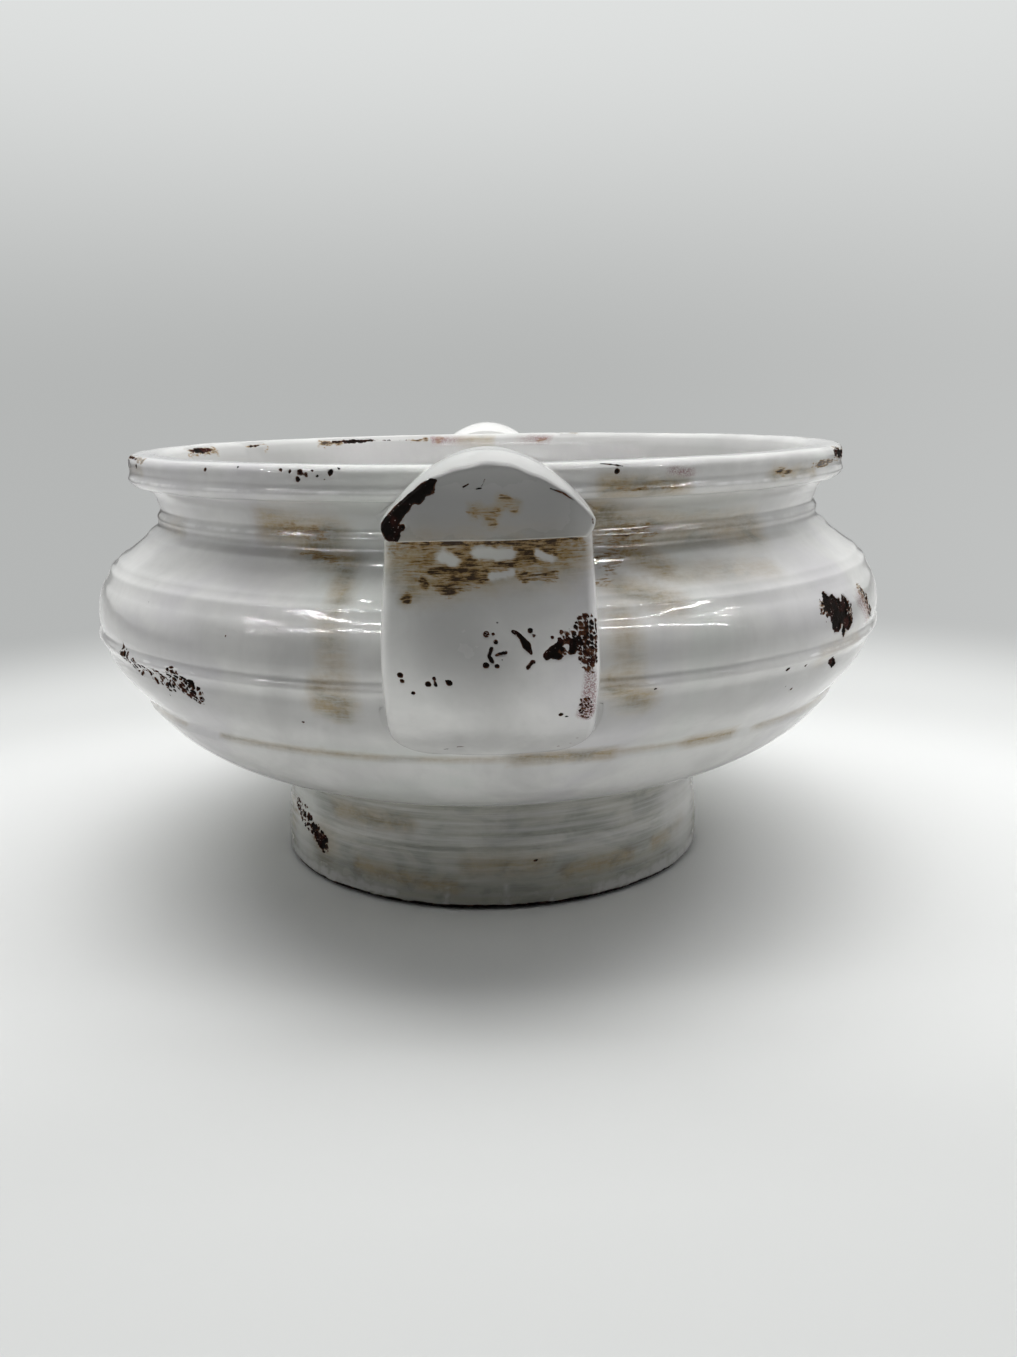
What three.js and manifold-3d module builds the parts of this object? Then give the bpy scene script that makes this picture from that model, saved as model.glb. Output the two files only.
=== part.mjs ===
// A footed, two-handled earthenware bowl in white glaze, as the pieces that a potter lutes together.
//
// Pieces: a thrown bowl, a thrown foot ring, and on each side a half-round lug over the rim, a strap from
// the lug down to the belly, and coils of soft clay that close the joints.
//
// Frame: millimetres, +Z up, origin at the centre of the foot on the table. The handles lie on the Y axis,
// and the front one points along -Y. Nothing on a fired bowl moves.

import * as THREE from "three";
import { mergeVertices } from "three/addons/utils/BufferGeometryUtils.js";
import Module from "manifold-3d";

const wasm = await Module();
wasm.setup();

// Clearance between two pieces of clay at a luted joint, filled by slip.
const SLIP = 0.3;

// Foot ring
const FOOT_RADIUS = 86; // outside, at the table
const FOOT_HEIGHT = 41;
const FOOT_WALL = 13; // width of the ring on the table
const FOOT_WAIST = 1.4; // how far the outside draws in at mid height
const FOOT_FLARE = 2; // how far the outside spreads again under the bowl
const FOOT_INNER_TAPER = 6; // how much the bore closes towards the bowl
const FOOT_EDGE = 2; // rounding of the edges on the table
const FOOT_GROOVE_HEIGHT = 11; // a turned line near the table
const FOOT_GROOVE_WIDTH = 3;
const FOOT_GROOVE_DEPTH = 0.8;
const FOOT_COIL = 3.6; // coil in the corner between the foot and the bowl

// Bowl, from the foot up: each section has its own height
const ROLL_HEIGHT = 32; // rounded underside, up to the turned crease
const LOWER_WALL_HEIGHT = 18; // from the crease to the lower edge of the belt
const BELT_LOWER_HEIGHT = 11.5; // from that edge to the widest point
const BELT_UPPER_HEIGHT = 19; // from the widest point to the upper edge of the belt
const SHOULDER_HEIGHT = 19; // from that edge to the narrowest point of the neck
const NECK_HEIGHT = 22.5; // from there to the top of the rim

// Bowl, outwards: the belly leads, and the other radii are set in from it
const BELLY_RADIUS = 153.6;
const CREASE_INSET = 15;
const CREASE_DEPTH = 1;
const CREASE_WIDTH = 2.4;
const BELT_LOWER_INSET = 2.6;
const BELT_UPPER_INSET = 6.4;
const NECK_INSET = 25;
const RIM_OVERHANG = 9.8; // how far the rim stands out from the neck
const RIM_BAND = 11; // height of the rim's outer face
const RIM_WIDTH = 13;
const RIM_ROUND = 3.2; // rounding of the rim's edges
const WALL = 8;
const FLOOR = 9; // thickness of the bowl over the foot

// Lug: a half-round bar that saddles the rim and ends in a flat face
const LUG_REACH = 24.4; // how far the face stands out from the belly
const LUG_RISE = 4.6; // crest of the lug over the rim
const LUG_WIDTH = 58;
const LUG_HEIGHT = 22.5;
const LUG_CHEEK = 4.6; // height of the widest line over the flat underside
const LUG_UNDERCUT = 2; // how far the underside's edges draw in
const LUG_EDGE = 2.4; // rounding round the face
const LUG_TONGUE = 9; // how far the lug laps over the rim
const LUG_TONGUE_DROP = 4; // how far its crest falls there
const LUG_FLARE = 10; // spread of the clay worked into the rim beside the lug
const LUG_FLARE_DROP = 6.5; // spread of the clay under the lug
const LUG_FLARE_LENGTH = 13;

// Strap: a broad band that hangs from the lug and runs into the belly
const STRAP_SETBACK = 7; // behind the lug's face
const STRAP_STANDOFF = 7.5; // finger room between the strap and the belly
const STRAP_TOP_WIDTH = 56.5;
const STRAP_ROOT_WIDTH = 61.5;
const STRAP_THICKNESS = 11;
const STRAP_ROOT_THICKNESS = 9;
const STRAP_CROWN = 1.2; // rise of the outer face along its middle
const STRAP_EDGE = 4.2; // rounding of its long edges
const STRAP_ROOT_RISE = 7.5; // lower end of the strap over the crease
const STRAP_ROOT_CORNER = 13; // rounding of its lower corners
const STRAP_COIL = 3; // radius of the coil round the strap's root

// Facets
const ROUND_STEPS = 60; // about the bowl's axis
const FACET = 8; // length of a step in a profile's curves
const EDGE_STEPS = 3; // in a rounded edge
const ARCH_STEPS = 6; // along half of the lug's arch
const STRAP_STEPS = 14; // along the strap
const COIL_STEPS = 40; // along a coil
const COIL_SIDES = 8;

// Heights and radii that follow from the sizes above
const BASE_Z = FOOT_HEIGHT + SLIP;
const CREASE_Z = BASE_Z + ROLL_HEIGHT;
const BELT_LOWER_Z = CREASE_Z + LOWER_WALL_HEIGHT;
const BELLY_Z = BELT_LOWER_Z + BELT_LOWER_HEIGHT;
const BELT_UPPER_Z = BELLY_Z + BELT_UPPER_HEIGHT;
const NECK_Z = BELT_UPPER_Z + SHOULDER_HEIGHT;
const RIM_Z = NECK_Z + NECK_HEIGHT;
const CREASE_RADIUS = BELLY_RADIUS - CREASE_INSET;
const NECK_RADIUS = BELLY_RADIUS - NECK_INSET;
const RIM_RADIUS = NECK_RADIUS + RIM_OVERHANG;
const LUG_FACE = BELLY_RADIUS + LUG_REACH;
const LUG_TOP_Z = RIM_Z + LUG_RISE;
const LUG_BOTTOM_Z = LUG_TOP_Z - LUG_HEIGHT;

const glaze = new THREE.MeshStandardMaterial({ color: 0xe6e5e1, roughness: 0.16, metalness: 0 });
const agedGlaze = new THREE.MeshStandardMaterial({ color: 0xd8d4c8, roughness: 0.24, metalness: 0 });

const point = (r, z) => new THREE.Vector2(r, z);

// Closed mesh of a geometry whose shared vertices are merged, as a solid with its faces pointing out.
function solidOf(geometry) {
  const bare = geometry.clone();
  bare.deleteAttribute("normal");
  bare.deleteAttribute("uv");
  const merged = mergeVertices(bare, 1e-4);
  const mesh = { numProp: 3, vertProperties: merged.attributes.position.array };
  const triVerts = new Uint32Array(merged.index.array);
  const solid = new wasm.Manifold(new wasm.Mesh({ ...mesh, triVerts }));
  if (solid.volume() > 0) return solid;
  return new wasm.Manifold(new wasm.Mesh({ ...mesh, triVerts: triVerts.reverse() }));
}

// The largest body of a solid, as a geometry: a cut may leave crumbs beside it.
function geometryOf(solid) {
  const bodies = solid.decompose().sort((a, b) => b.volume() - a.volume());
  const mesh = bodies[0].getMesh();
  const geometry = new THREE.BufferGeometry();
  geometry.setAttribute("position", new THREE.BufferAttribute(mesh.vertProperties, 3));
  geometry.setIndex(new THREE.BufferAttribute(mesh.triVerts, 1));
  geometry.computeVertexNormals();
  return geometry;
}

// Body of revolution about +Z of a profile of (radius, height) points.
function turned(profile) {
  return new THREE.LatheGeometry(profile, ROUND_STEPS).rotateX(Math.PI / 2);
}

// Closed body through a row of rings with as many points each, capped at both ends.
function loft(rings) {
  const count = rings[0].length;
  const centre = (ring) => ring.reduce((sum, p) => sum.add(p), new THREE.Vector3()).divideScalar(count);
  const points = [...rings.flat(), centre(rings[0]), centre(rings.at(-1))];
  const first = rings.length * count;
  const faces = [];
  for (let j = 0; j < count; j++) {
    const next = (j + 1) % count;
    for (let i = 0; i < rings.length - 1; i++) {
      const a = i * count;
      const b = a + count;
      faces.push(a + j, a + next, b + j, a + next, b + next, b + j);
    }
    const last = first - count;
    faces.push(first, next, j, first + 1, last + j, last + next);
  }
  const geometry = new THREE.BufferGeometry().setFromPoints(points);
  geometry.setIndex(faces);
  return geometry;
}

// Points of a path: a line keeps its ends, and a curve is cut into steps of about one facet.
function pointsOf(path) {
  const points = path.curves.flatMap((curve) => {
    const steps = THREE.MathUtils.clamp(Math.round(curve.getLength() / FACET), 2, 6);
    return curve.getPoints(curve.isLineCurve ? 1 : steps);
  });
  return points.filter((p, i) => i === 0 || p.distanceTo(points[i - 1]) > 1e-6);
}

// A profile moved outwards by a distance, square to itself at each point.
function grown(profile, distance) {
  return profile.map((p, i) => {
    const before = profile[Math.max(i - 1, 0)];
    const after = profile[Math.min(i + 1, profile.length - 1)];
    const along = after.clone().sub(before).normalize();
    return point(Math.max(p.x + along.y * distance, 0), p.y - along.x * distance);
  });
}

// Outside of the bowl, from the edge of its base up to the top of the rim.
function outerProfile() {
  const baseRadius = FOOT_RADIUS + FOOT_FLARE;
  const path = new THREE.Path();
  path.moveTo(baseRadius, BASE_Z);
  const rollTop = point(CREASE_RADIUS, CREASE_Z - CREASE_WIDTH / 2);
  const rollCorner = point(baseRadius + 0.6 * (rollTop.x - baseRadius), BASE_Z + 0.26 * ROLL_HEIGHT);
  path.quadraticCurveTo(rollCorner.x, rollCorner.y, rollTop.x, rollTop.y);
  path.lineTo(CREASE_RADIUS - CREASE_DEPTH, CREASE_Z);
  path.lineTo(CREASE_RADIUS, CREASE_Z + CREASE_WIDTH / 2);
  const beltLower = point(BELLY_RADIUS - BELT_LOWER_INSET, BELT_LOWER_Z);
  const wallRadius = beltLower.x - 0.3 * (beltLower.x - CREASE_RADIUS);
  path.quadraticCurveTo(wallRadius, CREASE_Z + 0.55 * LOWER_WALL_HEIGHT, beltLower.x, beltLower.y);
  const beltUpper = point(BELLY_RADIUS - BELT_UPPER_INSET, BELT_UPPER_Z);
  path.quadraticCurveTo(BELLY_RADIUS, BELLY_Z - 0.4 * BELT_LOWER_HEIGHT, BELLY_RADIUS, BELLY_Z);
  path.quadraticCurveTo(BELLY_RADIUS, BELLY_Z + 0.62 * BELT_UPPER_HEIGHT, beltUpper.x, beltUpper.y);
  const shoulder = 0.36 * SHOULDER_HEIGHT;
  path.bezierCurveTo(
    beltUpper.x - shoulder, BELT_UPPER_Z + shoulder, NECK_RADIUS, NECK_Z - shoulder, NECK_RADIUS, NECK_Z,
  );
  const bandZ = RIM_Z - RIM_BAND;
  path.quadraticCurveTo(NECK_RADIUS, bandZ - RIM_ROUND / 2, RIM_RADIUS - RIM_ROUND / 2, bandZ);
  path.quadraticCurveTo(RIM_RADIUS, bandZ, RIM_RADIUS, bandZ + RIM_ROUND);
  path.lineTo(RIM_RADIUS, RIM_Z - RIM_ROUND);
  path.quadraticCurveTo(RIM_RADIUS, RIM_Z, RIM_RADIUS - RIM_ROUND, RIM_Z);
  return pointsOf(path);
}

// Inside of the bowl, from the top of the rim down to the middle of the floor.
function innerProfile() {
  const floorZ = BASE_Z + FLOOR;
  const mouth = RIM_RADIUS - RIM_WIDTH;
  const neck = NECK_RADIUS - WALL;
  const belly = BELLY_RADIUS - WALL;
  const path = new THREE.Path();
  path.moveTo(mouth + RIM_ROUND, RIM_Z);
  path.quadraticCurveTo(mouth, RIM_Z, mouth, RIM_Z - RIM_ROUND);
  path.quadraticCurveTo(neck, NECK_Z + 0.4 * NECK_HEIGHT, neck, NECK_Z);
  path.bezierCurveTo(
    neck, NECK_Z - 0.5 * SHOULDER_HEIGHT, belly, BELT_UPPER_Z, belly, BELLY_Z,
  );
  path.bezierCurveTo(
    belly, BELT_LOWER_Z, CREASE_RADIUS - WALL, CREASE_Z - 0.2 * ROLL_HEIGHT, FOOT_RADIUS, floorZ + WALL / 2,
  );
  path.quadraticCurveTo(FOOT_RADIUS - FLOOR, floorZ, FOOT_RADIUS - 3 * FLOOR, floorZ);
  path.lineTo(0, floorZ);
  return pointsOf(path);
}

const outside = outerProfile();

// Radius of the bowl's outside at a height.
function outsideRadius(z) {
  const i = outside.findIndex((p) => p.y >= z);
  if (i <= 0) return outside.at(i).x;
  const [low, high] = [outside[i - 1], outside[i]];
  return low.x + ((high.x - low.x) * (z - low.y)) / (high.y - low.y);
}

// Y of the bowl's outside under the front handle, at a place across it and a height.
function bowlFace(x, z) {
  return -Math.sqrt(outsideRadius(z) ** 2 - x * x);
}

function bowlGeometry() {
  return turned([point(0, BASE_Z), ...outside, ...innerProfile()]);
}

// The bowl filled to its rim and grown by the slip, which cuts whatever is luted to its outside.
function bowlCutter() {
  const skin = grown(outside, SLIP);
  return solidOf(turned([point(0, BASE_Z - SLIP), ...skin, point(0, RIM_Z + SLIP)]));
}

// Outside of the foot ring, from the table to the bowl.
function footSide() {
  const top = FOOT_RADIUS + FOOT_FLARE;
  const waist = FOOT_RADIUS - FOOT_WAIST;
  const grooveLow = FOOT_GROOVE_HEIGHT - FOOT_GROOVE_WIDTH / 2;
  const grooveHigh = FOOT_GROOVE_HEIGHT + FOOT_GROOVE_WIDTH / 2;
  const path = new THREE.Path();
  path.moveTo(FOOT_RADIUS - FOOT_EDGE, 0);
  path.quadraticCurveTo(FOOT_RADIUS, 0, FOOT_RADIUS, FOOT_EDGE);
  path.lineTo(FOOT_RADIUS, grooveLow);
  path.lineTo(FOOT_RADIUS - FOOT_GROOVE_DEPTH, FOOT_GROOVE_HEIGHT);
  path.lineTo(waist + 0.5 * FOOT_WAIST, grooveHigh);
  path.quadraticCurveTo(waist, FOOT_HEIGHT / 2, waist, 0.6 * FOOT_HEIGHT);
  path.quadraticCurveTo(waist, 0.86 * FOOT_HEIGHT, top, FOOT_HEIGHT);
  return pointsOf(path);
}

function footGeometry() {
  const bore = FOOT_RADIUS - FOOT_WALL;
  const side = footSide();
  const inside = [
    point(bore - FOOT_INNER_TAPER, FOOT_HEIGHT),
    point(bore, FOOT_EDGE),
    point(bore + FOOT_EDGE, 0),
  ];
  return turned([...side, ...inside, side[0]]);
}

// Coil pressed into the corner between the foot and the underside of the bowl.
function footCoilGeometry() {
  const ring = new THREE.Path();
  ring.absarc(FOOT_RADIUS + FOOT_FLARE, FOOT_HEIGHT, FOOT_COIL, 0, 2 * Math.PI, false);
  const coil = solidOf(turned(ring.getPoints(COIL_SIDES / 2)));
  const side = grown(footSide(), SLIP);
  const seatZ = FOOT_HEIGHT + SLIP;
  const foot = [point(0, -SLIP), ...side, point(side.at(-1).x, seatZ), point(0, seatZ)];
  return geometryOf(coil.subtract(bowlCutter()).subtract(solidOf(turned(foot))));
}

// Half-round section of the lug at a distance from the axis: flat below, widest just over that, then arched.
function lugRing(distance, halfWidth, bottom, top) {
  const widest = point(halfWidth, bottom + LUG_CHEEK);
  const flat = point(halfWidth - LUG_UNDERCUT, bottom);
  const cheek = new THREE.QuadraticBezierCurve(flat, point(halfWidth, bottom + 0.4 * LUG_CHEEK), widest);
  const arch = new THREE.CubicBezierCurve(
    widest,
    point(halfWidth, widest.y + 0.42 * (top - widest.y)),
    point(0.52 * halfWidth, top),
    point(0, top),
  );
  const half = [...cheek.getPoints(2), ...arch.getPoints(ARCH_STEPS).slice(1)];
  const mirrored = half.slice(0, -1).reverse();
  const outline = [...half.map((p) => [p.x, p.y]), ...mirrored.map((p) => [-p.x, p.y])];
  return outline.map(([x, z]) => new THREE.Vector3(x, -distance, z));
}

// Lug from its face to its tongue over the rim, grown all round by a distance.
function lugSolid(extra) {
  const half = LUG_WIDTH / 2 + extra;
  const bottom = LUG_BOTTOM_Z - extra;
  const top = LUG_TOP_Z + extra;
  const rings = [];
  for (let i = 0; i <= EDGE_STEPS; i++) {
    const turn = (0.5 * Math.PI * i) / EDGE_STEPS;
    const inset = LUG_EDGE * (1 - Math.sin(turn));
    const back = LUG_EDGE * (1 - Math.cos(turn));
    rings.push(lugRing(LUG_FACE + extra - back, half - inset, bottom + inset, top - inset));
  }
  const tongueEnd = RIM_RADIUS - LUG_TONGUE;
  for (let i = 0; i <= EDGE_STEPS; i++) {
    const turn = (0.5 * Math.PI * i) / EDGE_STEPS;
    const distance = tongueEnd + LUG_TONGUE * Math.cos(turn) - extra * Math.sin(turn);
    const drop = LUG_TONGUE_DROP * (1 - Math.cos(turn));
    rings.push(lugRing(distance, half, bottom, top - drop));
  }
  return solidOf(loft(rings));
}

// Clay worked in round the lug's root, at rim and neck: the lug's section spreads as it nears the bowl.
function lugCoilSolid() {
  const steps = 2 * EDGE_STEPS;
  const rings = [];
  for (let i = 0; i <= steps; i++) {
    const along = i / steps;
    const spread = along ** 3;
    const half = LUG_WIDTH / 2 - SLIP + LUG_FLARE * spread;
    const bottom = LUG_BOTTOM_Z + SLIP - LUG_FLARE_DROP * spread;
    const top = LUG_TOP_Z - LUG_RISE / 2 - 0.25 * LUG_RISE * spread;
    const ring = lugRing(0, half, bottom, top);
    rings.push(ring.map((p) => p.setY(bowlFace(p.x, p.z) - LUG_FLARE_LENGTH * (1 - along))));
  }
  rings.push(rings.at(-1).map((p) => p.clone().setY(p.y + WALL / 2)));
  return solidOf(loft(rings));
}

// Middle line of the strap in the plane of the handles, as (distance from the axis, height).
function strapLine() {
  const topZ = LUG_BOTTOM_Z - SLIP;
  const top = LUG_FACE - STRAP_SETBACK - STRAP_THICKNESS / 2;
  const middle = BELLY_RADIUS + STRAP_STANDOFF + STRAP_THICKNESS / 2;
  const rootZ = CREASE_Z + STRAP_ROOT_RISE;
  const root = outsideRadius(rootZ) - STRAP_ROOT_THICKNESS / 2;
  const drop = topZ - BELT_UPPER_Z;
  const fall = BELT_UPPER_Z - rootZ;
  const line = new THREE.CurvePath();
  line.add(new THREE.CubicBezierCurve(
    point(top, topZ),
    point(top, topZ - drop / 3),
    point(middle, BELT_UPPER_Z + drop / 3),
    point(middle, BELT_UPPER_Z),
  ));
  line.add(new THREE.CubicBezierCurve(
    point(middle, BELT_UPPER_Z),
    point(middle, BELT_UPPER_Z - 0.55 * fall),
    point(root + 0.5 * fall, rootZ + 0.38 * fall),
    point(root, rootZ),
  ));
  return line;
}

// Section of the strap: a flat band with rounded long edges and a crowned outer face.
function strapSection(width, thickness) {
  const half = width / 2;
  const edge = Math.min(STRAP_EDGE, 0.48 * thickness);
  const inner = -thickness / 2;
  const outer = thickness / 2 - STRAP_CROWN;
  const shape = new THREE.Path();
  shape.moveTo(half - edge, inner);
  shape.quadraticCurveTo(half, inner, half, inner + edge);
  shape.lineTo(half, Math.max(outer - edge, inner + edge + SLIP));
  shape.quadraticCurveTo(half, outer, half - edge, outer + STRAP_CROWN * (edge / half));
  shape.quadraticCurveTo(half / 2, thickness / 2, 0, thickness / 2);
  const side = shape.getPoints(2);
  const mirrored = side.slice(0, -1).reverse();
  return [...side, ...mirrored.map((p) => point(-p.x, p.y))];
}

// Strap swept along its line, grown by a distance on every face.
function strapSolid(extra) {
  const line = strapLine();
  const length = line.getLength();
  const rings = [];
  for (let i = 0; i <= STRAP_STEPS; i++) {
    const share = i / STRAP_STEPS;
    const centre = line.getPointAt(share);
    const along = line.getTangentAt(share);
    const toEnd = Math.max(STRAP_ROOT_CORNER - length * (1 - share), 0);
    const corner = STRAP_ROOT_CORNER - Math.sqrt(Math.max(STRAP_ROOT_CORNER ** 2 - toEnd ** 2, 0));
    const width = THREE.MathUtils.lerp(STRAP_TOP_WIDTH, STRAP_ROOT_WIDTH, Math.min(2 * share, 1));
    const thickness = THREE.MathUtils.lerp(STRAP_THICKNESS, STRAP_ROOT_THICKNESS, share);
    const section = strapSection(width - 1.2 * corner + 2 * extra, thickness + 2 * extra);
    if (i === 0) centre.addScaledVector(along, -extra);
    if (i === STRAP_STEPS) centre.addScaledVector(along, extra);
    rings.push(section.map(({ x, y }) => (
      new THREE.Vector3(x, -(centre.x - along.y * y), centre.y + along.x * y)
    )));
  }
  return solidOf(loft(rings));
}

// Height at which the strap's inner face leaves the belly.
function strapLiftZ() {
  const line = strapLine();
  for (let share = 1; share > 0; share -= 0.01) {
    const centre = line.getPointAt(share);
    const along = line.getTangentAt(share);
    const inwards = point(along.y, -along.x).multiplyScalar(STRAP_THICKNESS / 2);
    const inner = centre.clone().add(inwards);
    if (inner.x > outsideRadius(inner.y)) return inner.y;
  }
  return BELT_UPPER_Z;
}

// Coil pressed all round the strap's root, where the strap runs into the belly.
function strapCoilSolid() {
  const line = strapLine();
  const low = line.getPointAt(1).y + (line.getTangentAt(1).x * STRAP_ROOT_THICKNESS) / 2;
  const high = strapLiftZ();
  const half = STRAP_ROOT_WIDTH / 2;
  const corner = Math.min(STRAP_ROOT_CORNER, (high - low) / 2);
  const outline = new THREE.Path();
  outline.moveTo(half, low + corner);
  outline.quadraticCurveTo(half, low, half - corner, low);
  outline.lineTo(corner - half, low);
  outline.quadraticCurveTo(-half, low, -half, low + corner);
  outline.quadraticCurveTo(-half, high, corner - half, high);
  outline.lineTo(half - corner, high);
  outline.quadraticCurveTo(half, high, half, low + corner);
  const stations = outline.getSpacedPoints(COIL_STEPS).slice(1);
  const route = stations.map((p) => new THREE.Vector3(p.x, bowlFace(p.x, p.y), p.y));
  const curve = new THREE.CatmullRomCurve3(route, true);
  return solidOf(new THREE.TubeGeometry(curve, COIL_STEPS, STRAP_COIL, COIL_SIDES, true));
}

// The pieces of one handle, on the -Y side, each cut back from what it is luted to.
function handleGeometries() {
  const bowl = bowlCutter();
  const lug = lugSolid(0).subtract(bowl);
  const strap = strapSolid(0).subtract(bowl);
  const lugCutter = lugSolid(SLIP);
  return {
    lug: geometryOf(lug),
    strap: geometryOf(strap),
    lug_coil: geometryOf(lugCoilSolid().subtract(bowl).subtract(lugCutter)),
    strap_coil: geometryOf(strapCoilSolid().subtract(bowl).subtract(strapSolid(SLIP))),
  };
}

function piece(name, geometry, material) {
  const mesh = new THREE.Mesh(geometry, material);
  mesh.name = name;
  return mesh;
}

const bowl = new THREE.Group();
bowl.add(piece("bowl_body", bowlGeometry(), glaze));
bowl.add(piece("foot_ring", footGeometry(), agedGlaze));
bowl.add(piece("foot_luting_coil", footCoilGeometry(), agedGlaze));

const parts = handleGeometries();
for (const [side, turn] of [["front", 0], ["rear", Math.PI]]) {
  const handle = new THREE.Group();
  handle.rotation.z = turn;
  handle.add(piece(`${side}_handle_lug`, parts.lug, glaze));
  handle.add(piece(`${side}_handle_strap`, parts.strap, glaze));
  handle.add(piece(`${side}_lug_luting_coil`, parts.lug_coil, glaze));
  handle.add(piece(`${side}_strap_luting_coil`, parts.strap_coil, glaze));
  bowl.add(handle);
}

export default bowl;
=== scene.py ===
"""Looks of the handled bowl: a thrown, white glazed bowl with two strap handles, chipped and stained."""
import logging
import math
from dataclasses import dataclass, field
from enum import Enum
from typing import Callable, Dict, List, Optional, Sequence, Tuple, Union

import bmesh
import bpy
import numpy as np
from mathutils import Matrix


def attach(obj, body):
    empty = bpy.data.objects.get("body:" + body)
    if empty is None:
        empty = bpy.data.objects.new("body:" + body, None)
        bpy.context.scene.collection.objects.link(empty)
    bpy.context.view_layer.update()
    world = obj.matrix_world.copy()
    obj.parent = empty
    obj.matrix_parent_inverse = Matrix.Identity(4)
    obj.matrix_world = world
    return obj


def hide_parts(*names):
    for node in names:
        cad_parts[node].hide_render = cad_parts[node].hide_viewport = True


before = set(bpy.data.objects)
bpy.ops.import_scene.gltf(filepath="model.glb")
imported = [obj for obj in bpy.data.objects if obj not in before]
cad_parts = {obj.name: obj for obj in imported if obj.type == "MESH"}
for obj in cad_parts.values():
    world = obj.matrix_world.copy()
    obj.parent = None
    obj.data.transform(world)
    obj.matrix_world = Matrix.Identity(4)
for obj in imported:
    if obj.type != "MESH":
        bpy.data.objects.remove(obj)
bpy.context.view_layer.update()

LOG = logging.getLogger("handled_bowl")
MM = 0.001
MERGE = 1e-6
BODY = "root"

Array = np.ndarray
Pair = Tuple[float, float]
Triple = Tuple[float, float, float]
Colour = Tuple[float, float, float]
Faces = List[Tuple[int, ...]]
Material = bpy.types.Material
Mesh = bpy.types.Mesh
Socket = bpy.types.NodeSocket
Input = Union[float, int, Sequence[float], Socket]
Spot = Callable[[float, float], Triple]
Row = Sequence[float]


# Curves and noise

def rows_of(*parts: Array) -> Array:
    """Rows of points from lists of each coordinate."""
    return np.stack(parts, axis=1)


def quad(a: Pair, b: Pair, c: Pair, steps: int = 24) -> Array:
    """Points on a curve with one handle.

    Args:
        a: The first end.
        b: The handle.
        c: The last end.
        steps: How many points.

    Returns:
        Rows of two numbers.
    """
    t = np.linspace(0.0, 1.0, steps)[:, None]
    return (1 - t) ** 2 * np.array(a) + 2 * (1 - t) * t * np.array(b) + t * t * np.array(c)


def cubic(a: Pair, b: Pair, c: Pair, d: Pair, steps: int = 32) -> Array:
    """Points on a curve with two handles.

    Args:
        a: The first end.
        b: The first handle.
        c: The second handle.
        d: The last end.
        steps: How many points.

    Returns:
        Rows of two numbers.
    """
    t = np.linspace(0.0, 1.0, steps)[:, None]
    s = 1 - t
    first = s ** 3 * np.array(a) + 3 * s * s * t * np.array(b)
    return first + 3 * s * t * t * np.array(c) + t ** 3 * np.array(d)


def lengths(line: Array) -> Array:
    """How far along a line each of its points is."""
    return np.concatenate([[0.0], np.cumsum(np.linalg.norm(np.diff(line, axis=0), axis=1))])


def sampled(line: Array, run: Array, at: Array) -> Array:
    """Points of a line at given places of its run."""
    return rows_of(*(np.interp(at, run, line[:, k]) for k in range(line.shape[1])))


def directions(line: Array) -> Array:
    """Which way a line runs at each of its points."""
    along = np.gradient(line, axis=0)
    return along / np.linalg.norm(along, axis=1)[:, None]


def round_axis(radius: float, angle: float, z: float) -> Triple:
    """A place by its distance from the axis, degrees round from the front handle and height."""
    a = math.radians(angle)
    return (radius * math.sin(a), -radius * math.cos(a), z)


def even(line: Array, step: float) -> Array:
    """A line laid out again with points an even step apart.

    Args:
        line: Rows of points.
        step: The wanted step.

    Returns:
        Rows of points, both ends kept.
    """
    run = lengths(line)
    count = max(2, int(round(run[-1] / step)) + 1)
    return sampled(line, run, np.linspace(0.0, run[-1], count))


def ease(low: float, high: float, value: Array) -> Array:
    """A soft step from 0 at low to 1 at high."""
    t = np.clip((value - low) / (high - low), 0.0, 1.0)
    return t * t * (3 - 2 * t)


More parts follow.
